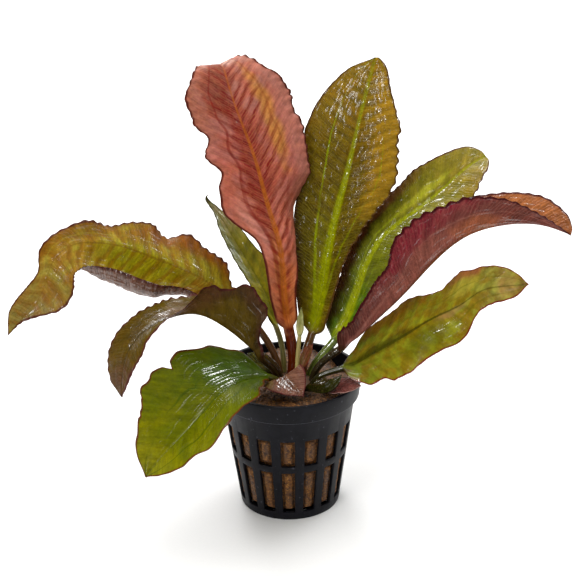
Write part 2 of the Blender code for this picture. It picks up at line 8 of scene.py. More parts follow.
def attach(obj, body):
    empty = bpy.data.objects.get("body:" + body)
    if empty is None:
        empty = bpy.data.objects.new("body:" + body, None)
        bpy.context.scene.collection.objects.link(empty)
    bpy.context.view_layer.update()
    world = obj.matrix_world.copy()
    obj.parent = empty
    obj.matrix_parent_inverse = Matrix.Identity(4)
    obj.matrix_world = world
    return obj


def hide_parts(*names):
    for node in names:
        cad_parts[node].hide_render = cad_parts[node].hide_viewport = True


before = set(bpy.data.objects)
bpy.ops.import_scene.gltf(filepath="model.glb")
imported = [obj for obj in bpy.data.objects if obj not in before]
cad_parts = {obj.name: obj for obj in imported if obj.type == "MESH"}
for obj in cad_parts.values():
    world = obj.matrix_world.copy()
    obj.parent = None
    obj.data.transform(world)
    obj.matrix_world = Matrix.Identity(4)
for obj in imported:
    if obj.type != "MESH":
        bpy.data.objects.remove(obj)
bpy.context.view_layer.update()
mm = 0.001
print("frame loaded")


# Helpers

def linear(code):
    # sRGB hex to linear light, with an alpha of 1
    parts = [int(code[k:k + 2], 16) / 255 for k in (1, 3, 5)]
    return (*[p / 12.92 if p <= 0.04045 else ((p + 0.055) / 1.055) ** 2.4 for p in parts], 1)


def add(tree, kind, links=(), out=0, **settings):
    # one shader node, which gives the output asked for. Links are its inputs, as values or as other
    # outputs, in their order or by socket, and settings are its properties
    new = tree.nodes.new("ShaderNode" + kind)
    for key, value in settings.items():
        setattr(new, key, value)
    inputs = links if isinstance(links, dict) else dict(enumerate(links))
    for key, value in inputs.items():
        if isinstance(value, bpy.types.NodeSocket):
            tree.links.new(value, new.inputs[key])
        else:
            new.inputs[key].default_value = value
    return new.outputs[out]


def newMaterial(name, **sockets):
    # an empty Principled material, with the sockets that are the same all over
    material = bpy.data.materials.new(name)
    material.use_nodes = True
    shader = material.node_tree.nodes["Principled BSDF"]
    for key, value in sockets.items():
        shader.inputs[key.replace("_", " ")].default_value = value
    return material, material.node_tree


def paint(tree, base, coats):
    # coats of colour over one another, each by its mask, strength and hex colour
    shade = linear(base) if isinstance(base, str) else base
    for cover, strength, code in coats:
        factor = add(tree, "Math", (cover, strength), operation="MULTIPLY")
        shade = add(tree, "Mix", {0: factor, 6: shade, 7: linear(code)}, out=2, data_type="RGBA")
    return shade


def finish(material, links):
    # the outputs that vary over the surface go into the shader's sockets
    shader = material.node_tree.nodes["Principled BSDF"]
    for key, value in links.items():
        material.node_tree.links.new(value, shader.inputs[key])
    return material


def makePiece(name, points, faces, material, node, values=None):
    # points in millimetres become one smooth mesh that rides on the root and stands for a CAD node
    mesh = bpy.data.meshes.new(name)
    mesh.from_pydata(np.asarray(points, float) * mm, [], faces)
    for key, numbers in (values or {}).items():
        layer = mesh.attributes.new(key, "FLOAT_VECTOR", "POINT")
        layer.data.foreach_set("vector", np.asarray(numbers, np.float32).ravel())
    mesh.materials.append(material)
    mesh.shade_smooth()
    piece = bpy.data.objects.new(name, mesh)
    bpy.context.scene.collection.objects.link(piece)
    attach(piece, "root")
    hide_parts(node)
    return piece


def closeRings(rings):
    # a stack of closed rings (rows, columns, numbers) becomes points and faces, with a pole in the
    # middle of the first and of the last ring
    rows, columns, size = rings.shape
    points = np.r_[rings.reshape(-1, size), rings[0].mean(0)[None], rings[-1].mean(0)[None]]
    corner = np.arange(rows * columns).reshape(rows, columns)
    after = np.roll(corner, -1, axis=1)
    quads = np.stack([corner[:-1], after[:-1], after[1:], corner[1:]], -1).reshape(-1, 4)
    foot = np.stack([after[0], corner[0], np.full(columns, rows * columns)], -1)
    top = np.stack([corner[-1], after[-1], np.full(columns, rows * columns + 1)], -1)
    return points, quads.tolist() + foot.tolist() + top.tolist()


def valueNoise(points, size, seed=0):
    # smooth random numbers from -1 to 1: a cubic blend of hashed values at the corners of a lattice
    # whose cells have that size
    place = np.asarray(points, float) / size + seed * 17.31
    cell = np.floor(place)
    share = place - cell
    share = share * share * (3 - 2 * share)
    total = 0
    for corner in np.ndindex(2, 2, 2):
        spot = cell + corner
        mixed = np.sin(spot @ np.array((127.1, 311.7, 74.7)) + seed) * 43758.5453
        weight = np.prod(np.where(corner, share, 1 - share), axis=-1)
        total = total + weight * (2 * (mixed - np.floor(mixed)) - 1)
    return total


# Camera, lights and floor

view = dict(target=(0.57, 0, 85.83), distance=620, elevation=24.3, roll=-1.05, lens=107.7, sensor=36)


def placeCamera(view):
    # looks down at the target from in front, by the elevation, and leans by the roll
    tilt, roll = np.radians((view["elevation"], view["roll"]))
    ahead = np.array((0, np.cos(tilt), -np.sin(tilt)))
    right = np.array((1, 0, 0))
    up = np.cross(right, ahead)
    side = np.cos(roll) * right + np.sin(roll) * up
    top = np.cos(roll) * up - np.sin(roll) * right
    place = (np.array(view["target"]) - view["distance"] * ahead) * mm
    turn = Matrix(np.stack([side, top, -ahead], 1).tolist()).to_4x4()
    lens = bpy.data.cameras.new("camera")
    lens.lens = view["lens"]
    lens.sensor_fit = "HORIZONTAL"
    lens.sensor_width = view["sensor"]
    lens.clip_start = 0.01
    camera = bpy.data.objects.new("camera", lens)
    camera.matrix_world = Matrix.Translation(place) @ turn
    bpy.context.scene.collection.objects.link(camera)
    bpy.context.scene.camera = camera


sky = dict(colour="#ffffff", strength=0.2)
# square soft boxes, sized in millimetres; wetOnly ones show in wet surfaces and light nothing else
lights = dict(
    top=dict(place=(-60, 0, 850), aim=(0, 0, 80), size=1000, power=7.3, tint="#fffdf8"),
    backdrop=dict(place=(0, 1300, 1000), aim=(0, 1250, 0), size=1800, power=14),
    rear=dict(place=(-150, 560, 430), aim=(0, 0, 80), size=260, power=1.9),
    front=dict(place=(-420, -480, 480), aim=(0, 0, 80), size=400, power=2.2),
    right=dict(place=(420, 420, 380), aim=(0, 0, 80), size=360, power=1.2, tint="#f8fbff"),
    glint=dict(place=(-350, -190, 390), aim=(10, 20, 110), size=130, power=1.3, wetOnly=True),
    gleam=dict(place=(285, 155, 425), aim=(-30, -30, 55), size=190, power=2.2, wetOnly=True),
)
paper = dict(size=4000, colour="#fbfbfb", grain="#f6f6f6", grainSize=1.111)


def placeLights(sky, lights):
    world = bpy.data.worlds.new("studio")
    world.use_nodes = True
    background = world.node_tree.nodes["Background"]
    background.inputs["Color"].default_value = linear(sky["colour"])
    background.inputs["Strength"].default_value = sky["strength"]
    bpy.context.scene.world = world
    for name, box in lights.items():
        lamp = bpy.data.lights.new(name, "AREA")
        lamp.shape = "SQUARE"
        lamp.size = box["size"] * mm
        lamp.energy = box["power"]
        lamp.color = linear(box.get("tint", "#ffffff"))[:3]
        item = bpy.data.objects.new(name, lamp)
        place = np.array(box["place"], float)
        away = place - np.array(box["aim"])
        away /= np.linalg.norm(away)
        # not quite upright, so that a lamp straight above has a sideways direction too
        side = np.cross((0, 0.3, 1), away)
        side /= np.linalg.norm(side)
        turn = Matrix(np.stack([side, np.cross(away, side), away], 1).tolist()).to_4x4()
        item.matrix_world = Matrix.Translation(place * mm) @ turn
        item.visible_diffuse = not box.get("wetOnly", False)
        bpy.context.scene.collection.objects.link(item)


def makeFloor(paper):
    # seamless studio paper, matt and faintly grained
    material, tree = newMaterial("studioPaper", Roughness=0.9)
    spot = add(tree, "TexCoord", out="Object")
    grain = add(tree, "TexNoise", {"Vector": spot, "Scale": 1 / (paper["grainSize"] * mm), "Detail": 3})
    shade = paint(tree, paper["colour"], ((grain, 1, paper["grain"]),))
    half = paper["size"] * mm / 2
    mesh = bpy.data.meshes.new("studioFloor")
    mesh.from_pydata([(-half, -half, 0), (half, -half, 0), (half, half, 0), (-half, half, 0)], [],
                     [(0, 1, 2, 3)])
    mesh.materials.append(finish(material, {"Base Color": shade}))
    floor = bpy.data.objects.new("studioFloor", mesh)
    bpy.context.scene.collection.objects.link(floor)


placeCamera(view)
placeLights(sky, lights)
makeFloor(paper)
bpy.context.scene.view_settings.view_transform = "Standard"
print("camera, lights and floor ready")


# Pot: injection-moulded polypropylene

pot = dict(
    height=51.5, wall=1.2, floor=1.5, baseRadius=18.5, shoulderRadius=24.7, stepHeight=44.2,
    rimLower=26.2, rimUpper=27.0, lip=1.5, lipOut=0.12, lipIn=0.1, slots=16, slotShare=0.6,
    slotTurn=-91.5, lowerSlot=(3.2, 21.2), upperSlot=(24.1, 35.3), floorSlot=(12.5, 16.0),
    facesPerSlot=8, edgeRound=0.22, roundAbove=28,
    # the step's pale colour is a painted highlight
    plastic="#0c0c12", worn="#1a1a21", dust="#3a3a42", stepHighlight="#44444c",
    scuffSize=6.25, grainSize=0.3846, speckSize=1.4286, grainDepth=0.06,
)


def wallRadius(height):
    # the wall widens evenly from the base to the step below the rim
    share = height / pot["stepHeight"]
    return pot["baseRadius"] + (pot["shoulderRadius"] - pot["baseRadius"]) * share


def potSurface(pot):
    # the wall's closed outline (radius, height) is turned round the axis. The outer and the inner
    # skin have the same rows, so a slot is where both leave out their cells, walled round between
    wall, floor, step, top = (pot[key] for key in ("wall", "floor", "stepHeight", "height"))
    belowLip = top - pot["lip"]
    levels = (*pot["lowerSlot"], *pot["upperSlot"])
    outer = [(radius, 0) for radius in pot["floorSlot"]]
    outer += [(wallRadius(z), z) for z in (0, *levels, step)]
    outer += [(pot["rimLower"], step), (pot["rimUpper"] - pot["lipOut"], belowLip),
              (pot["rimUpper"], top)]
    inner = [(radius, floor) for radius in pot["floorSlot"]]
    inner += [(wallRadius(z) - wall, z) for z in (floor, *levels, step - wall)]
    inner += [(pot["rimLower"] - wall, step + wall),
              (pot["rimUpper"] - wall - pot["lipIn"], belowLip), (pot["rimUpper"] - wall, top)]
    rows = len(outer)
    columns = pot["slots"] * 2 * pot["facesPerSlot"]
    # a slot takes its share of each pitch, and the bar beside it the rest, in as many columns
    pitch = 2 * np.pi / pot["slots"]
    part = np.arange(pot["facesPerSlot"]) / pot["facesPerSlot"]
    steps = np.r_[part * pot["slotShare"], pot["slotShare"] + part * (1 - pot["slotShare"])]
    angle = np.radians(pot["slotTurn"]) - pot["slotShare"] * pitch / 2
    angle = angle + (np.arange(pot["slots"])[:, None] + steps).ravel() * pitch
    skins = []
    for outline in (outer, inner):
        radius, height = np.array(outline).T[:, :, None]
        skin = np.stack([radius * np.cos(angle), radius * np.sin(angle), height + 0 * angle], -1)
        skins.append(skin.reshape(-1, 3))
    points = np.r_[skins[0], skins[1], [(0, 0, 0)], [(0, 0, floor)]]
    corner = np.arange(rows * columns).reshape(rows, columns)
    after = np.roll(corner, -1, axis=1)
    inside = rows * columns
    # open cells: the floor's ring of slots, and the lower and the upper row of the wall
    solid = np.ones((rows - 1, columns), bool)
    inSlot = np.arange(columns) % (2 * pot["facesPerSlot"]) < pot["facesPerSlot"]
    for row in (0, 3, 5):
        solid[row, inSlot] = False
    cells = np.stack([corner[:-1], after[:-1], after[1:], corner[1:]], -1)
    faces = cells[solid].tolist() + (cells[solid][:, ::-1] + inside).tolist()
    # each edge between a solid and an open cell, and between the floor's disc and an open cell
    left = solid & ~np.roll(solid, -1, axis=1)
    right = solid & ~np.roll(solid, 1, axis=1)
    above = solid[:-1] & ~solid[1:]
    below = ~solid[:-1] & solid[1:]
    first = ~solid[0]
    edges = ((after[:-1][left], after[1:][left]), (corner[1:][right], corner[:-1][right]),
             (after[1:-1][above], corner[1:-1][above]), (corner[1:-1][below], after[1:-1][below]),
             (after[0][first], corner[0][first]))
    for start, end in edges:
        faces += np.stack([end, start, start + inside, end + inside], -1).tolist()
    disc = np.full(columns, 2 * inside)
    faces += np.stack([after[0], corner[0], disc], -1).tolist()
    faces += np.stack([corner[0] + inside, after[0] + inside, disc + 1], -1).tolist()
    faces += np.stack([corner[-1], after[-1], after[-1] + inside, corner[-1] + inside], -1).tolist()
    return points, faces


def polypropylene(pot):
    # moulded black polypropylene: satin, with a fine tooled grain, dull scuffs and specks of dust, so
    # its highlights are broad and greyish. A pale line along its step is a painted highlight
    material, tree = newMaterial("mouldedPolypropylene", IOR=1.49, Specular_IOR_Level=0.12)
    spot = add(tree, "TexCoord", out="Object")
    scuff, grain, speck = (
        add(tree, "TexNoise", {"Vector": spot, "Scale": 1 / (pot[name] * mm), "Detail": detail,
                               "Roughness": rough})
        for name, detail, rough in (("scuffSize", 8, 0.7), ("grainSize", 4, 0.5), ("speckSize", 2, 0.5)))
    height = add(tree, "SeparateXYZ", (spot,), out=2)
    # painted highlight: a pale band in the colour at the step's height, for the light line under the rim
    highlightBand = add(tree, "Math", (height, pot["stepHeight"] * mm, 0.2 * mm), operation="COMPARE")
    shade = paint(tree, pot["plastic"], (
        (add(tree, "MapRange", (scuff, 0.45, 0.75)), 1, pot["worn"]),
        (add(tree, "MapRange", (speck, 0.68, 0.74)), 1, pot["dust"]), (highlightBand, 1, pot["stepHighlight"])))
    gloss = add(tree, "MapRange", (scuff, 0.3, 0.75, 0.34, 0.55))
    bump = add(tree, "Bump", {"Height": grain, "Strength": 0.35, "Distance": pot["grainDepth"] * mm})
    return finish(material, {"Base Color": shade, "Roughness": gloss, "Normal": bump})


potPoints, potFaces = potSurface(pot)
netPot = makePiece("netPot", potPoints, potFaces, polypropylene(pot), "pot")
rounding = netPot.modifiers.new("edges", "BEVEL")
rounding.width = pot["edgeRound"] * mm
rounding.segments = 2
rounding.limit_method = "ANGLE"
rounding.angle_limit = np.radians(pot["roundAbove"])
rounding.harden_normals = False
print("pot ready")


# Growing medium: mineral wool. The dip is (x, y, radius, depth), the waves of its top are (share of x,
# share of y, size, phase) and the lumps are (size, height), as the crown's are

wool = dict(
    top=49.4, bottom=1.8, chamfer=3.0, clearance=0.3, swell=0.4, columns=480, sideRows=130,
    rimRows=8, topRows=60, crown=(2.2, -4.2), recess=9.9, recessDepth=2.5, dip=(20.5, 13, 7, 4),
    waves=((1, 0, 5.1, 0.6), (0, 1, 4.3, -0.9), (1, 1, 7.7, 0)),
    lumps=((2.6, 0.5), (1.1, 0.35), (0.5, 0.25)), tuft=0.55, lift=1.1, bulge=1.4, bulgeShare=0.85,
    bulgeInset=0.5, dark="#321b0c", mid="#80501f", light="#bc8238", crumbSize=0.8696,
    tuftSize=1.4286, patchSize=7.692, tuftDepth=0.8,
)


def woolSurface(wool):
    # rings across the bottom, up the inside of the pot, in over the top from the pot's circle to the
    # crown's, and down into its recess. A bell-shaped hollow lies at the back. Noise of three sizes
    # draws the side in and moves the top up or down, and a smooth hump presses out into each slot
    gap = pot["wall"] + wool["clearance"]
    edge = pot["rimLower"] - gap
    shoulder = pot["stepHeight"] + pot["wall"]
    bottom, top = wool["bottom"], wool["top"]
    angle = np.arange(wool["columns"]) * 2 * np.pi / wool["columns"]
    circle = np.stack([np.cos(angle), np.sin(angle)], 1)
    centre = np.array(wool["crown"])

    def ring(flat, height):
        return np.c_[flat, np.full(len(flat), height)]

    rings = [ring(circle * radius, bottom) for radius in (0.2, 8)]
    rings.append(ring(circle * (wallRadius(bottom) - gap - wool["chamfer"]), bottom))
    for z in np.linspace(bottom + wool["chamfer"], pot["stepHeight"] - gap, wool["sideRows"]):
        rings.append(ring(circle * (wallRadius(z) - gap), z))
    for z in (shoulder, *np.linspace(shoulder + 0.5, top - 0.4, wool["rimRows"])):
        rings.append(ring(circle * edge, z))
    for share in np.linspace(0.02, 1, wool["topRows"]):
        flat = circle * edge * (1 - share) + (centre + circle * wool["recess"]) * share
        swell = sum(np.sin(flat @ way / size + phase) for *way, size, phase in wool["waves"])
        rings.append(np.c_[flat, top + wool["swell"] * swell])
    rings.append(ring(centre + circle * (wool["recess"] - 0.3), top - 1))
    rings.append(ring(centre + circle, top - wool["recessDepth"]))
    rings = np.array(rings)
    x, y, size, depth = wool["dip"]
    hollow = depth * np.exp(-((rings[..., 0] - x) ** 2 + (rings[..., 1] - y) ** 2) / size ** 2)
    rings[..., 2] -= hollow * np.clip((rings[..., 2] - top + 5) / 5, 0, 1)
    height = rings[..., 2]
    rough = 0
    for seed, (size, share) in enumerate(wool["lumps"], 1):
        rough = rough + valueNoise(rings, size, seed) * share
    away = np.linalg.norm(rings[..., :2], axis=-1)
    isSide = np.clip((top - 1.5 - height) / 1.5, 0, 1)
    inward = wool["tuft"] * (1 + rough) * np.clip(height / 5, 0, 1)
    # the hump in each slot: across it by the cosine round the pot, and up it between its ends
    turn = np.arctan2(rings[..., 1], rings[..., 0]) - np.radians(pot["slotTurn"])
    across = np.cos(turn * pot["slots"])
    hump = np.clip((across - np.cos(np.pi * pot["slotShare"] * wool["bulgeShare"])) * 1.6, 0, 1)
    rise = 0
    for low, high in (pot["lowerSlot"], pot["upperSlot"]):
        ends = np.minimum(height - low - wool["bulgeInset"], high - wool["bulgeInset"] - height)
        rise = rise + np.clip(ends, 0, 1)
    inward = (inward - wool["bulge"] * hump * rise) * isSide * 0.7
    rings[..., :2] -= rings[..., :2] / np.maximum(away, 1)[..., None] * inward[..., None]
    rings[..., 2] += rough * wool["lift"] * (1 - isSide)
    return rings


def mineralWool(wool):
    # spun mineral wool soaked brown: dull granular tufts with dark pores between pale crumbs, darker
    # and glossier in damp patches
    material, tree = newMaterial("mineralWool")
    spot = add(tree, "TexCoord", out="Object")
    crumb = add(tree, "TexVoronoi", {"Vector": spot, "Scale": 1 / (wool["crumbSize"] * mm)})
    tuft, patch = (
        add(tree, "TexNoise", {"Vector": spot, "Scale": 1 / (wool[name] * mm), "Detail": detail,
                               "Roughness": rough})
        for name, detail, rough in (("tuftSize", 6, 0.7), ("patchSize", 3, 0.5)))
    shade = paint(tree, wool["dark"], (
        (add(tree, "MapRange", (tuft, 0.38, 0.6)), 1, wool["mid"]),
        (add(tree, "MapRange", (crumb, 0.45, 0.1)), 0.6, wool["light"])))
    damp = add(tree, "MapRange", (patch, 0.4, 0.65, 1.05, 0.7))
    shade = add(tree, "HueSaturation", {"Color": shade, "Value": damp})
    rough = add(tree, "MapRange", (patch, 0.4, 0.65, 0.9, 0.6))
    bump = add(tree, "Bump", {"Height": tuft, "Strength": 1, "Distance": wool["tuftDepth"] * mm})
    return finish(material, {"Base Color": shade, "Roughness": rough, "Normal": bump})


woolPoints, woolFaces = closeRings(woolSurface(wool))
makePiece("woolPlug", woolPoints, woolFaces, mineralWool(wool), "growing_medium")
print("growing medium ready")


# Crown: the rootstock

crown = dict(centre=(2.2, -4.2), radius=9.3, bottom=45, top=50.9, columns=120, rows=50,
             lumps=((2.4, 0.5), (0.9, 0.25)), dark="#2a180c", light="#6b4a2a", fibreSize=2,
             fibreDepth=0.6)


def crownSurface(crown):
    # a low dome: the radius follows a quarter circle over the height, and noise makes it lumpy
    turn = np.linspace(0, 2 * np.pi, crown["columns"], endpoint=False)
    rise = np.linspace(0, np.pi / 2 * 0.98, crown["rows"])[:, None]
    radius = crown["radius"] * np.cos(rise) ** 0.55
    height = crown["bottom"] + (crown["top"] - crown["bottom"]) * np.sin(rise) ** 0.6
    rings = np.stack([crown["centre"][0] + radius * np.cos(turn),
                      crown["centre"][1] + radius * np.sin(turn), height + 0 * turn], -1)
    lump = 0
    for seed, (size, share) in enumerate(crown["lumps"], 5):
        lump = lump + valueNoise(rings, size, seed) * share
    return rings + lump[..., None] * np.array((0.3, 0.3, 0.8))


def rootstock(crown):
    # fibrous rootstock: brown and matt, with light fibres over dark
    material, tree = newMaterial("rootstock", Roughness=0.7)
    spot = add(tree, "TexCoord", out="Object")
    fibre = add(tree, "TexNoise", {"Vector": spot, "Scale": 1 / (crown["fibreSize"] * mm), "Detail": 6})
    shade = paint(tree, crown["dark"], ((fibre, 1, crown["light"]),))
    bump = add(tree, "Bump", {"Height": fibre, "Strength": 1, "Distance": crown["fibreDepth"] * mm})
    return finish(material, {"Base Color": shade, "Normal": bump})


crownPoints, crownFaces = closeRings(crownSurface(crown))
makePiece("crownDome", crownPoints, crownFaces, rootstock(crown), "crown")
print("crown ready")


# Leaves: one grown piece each, a stalk and a blade

# shared by all leaves, in millimetres: thicknesses, grooves and ribs, how far the ends of a blade
# reach, and the grid's steps. fadeIn, fadeOut and brief are shares of the blade, ribShare is a share
# of the stem, and wander and lumps are the height and size of noise
leafForm = dict(
    bladeThickness=0.42, tipThickness=0.3, ribDepth=0.75, stalkDepth=0.9, groove=0.35,
    sideGroove=0.12, sideDepth=0.18, tipLength=4, shoulderLength=5, shoulderShare=0.15, swellLength=5,
    fadeIn=0.2, fadeOut=0.25, brief=0.06, ribShare=0.8, ribLeast=0.35, sideVein=(0.55, 0.15),
    wander=(0.5, 9), lumps=(0.25, 1.6), rowStep=0.4, columns=45,
)

# shared by all leaves: the skin under its film of water, and its patterns' sizes in millimetres.
# strokes and wander are cells per vein across and per millimetre along the side veins, a stripe is
# (length, share of the width), and ramp is where the stalk's and the blade's colours lie
leafSkin = dict(
    ior=1.42, specularLevel=0.04, filmRoughness=0.07, filmIor=1.8, filmLeast=0.015,
    filmEdge=(0.62, 0.67), speckSize=1.111, clearSize=11.11, dimpleSize=2.381, strokes=(0.5, 0.13),
    wander=(0.22, 0.2), stripe=(100 / 3, 1 / 6), netShape=0.4, netLooseness=0.65,
    ramp=(0.09, 0.14, 0.38, 0.72), relief=0.2, darkest=0.62, lightest=1.36, saturation=1.03,
)

# what a leaf has where it says nothing else
plainLeaf = dict(
    twist=(0,), bend=1.5, curlLeft=(0,), curlRight=(0,), waveLeft=(0,), waveRight=(0,),
    frillLeft=(1,), frillRight=(1,), nicksLeft=(), nicksRight=(), crimp=(0.15, 3.6), lobe=(0.1, 3.4),
    bump=(0.2, 8), pucker=0.12, zones=(), backZones=(), wet=0, wetZones=(), streak=(11, 0.7),
    stripes=1.6, gloss=0.34,
)

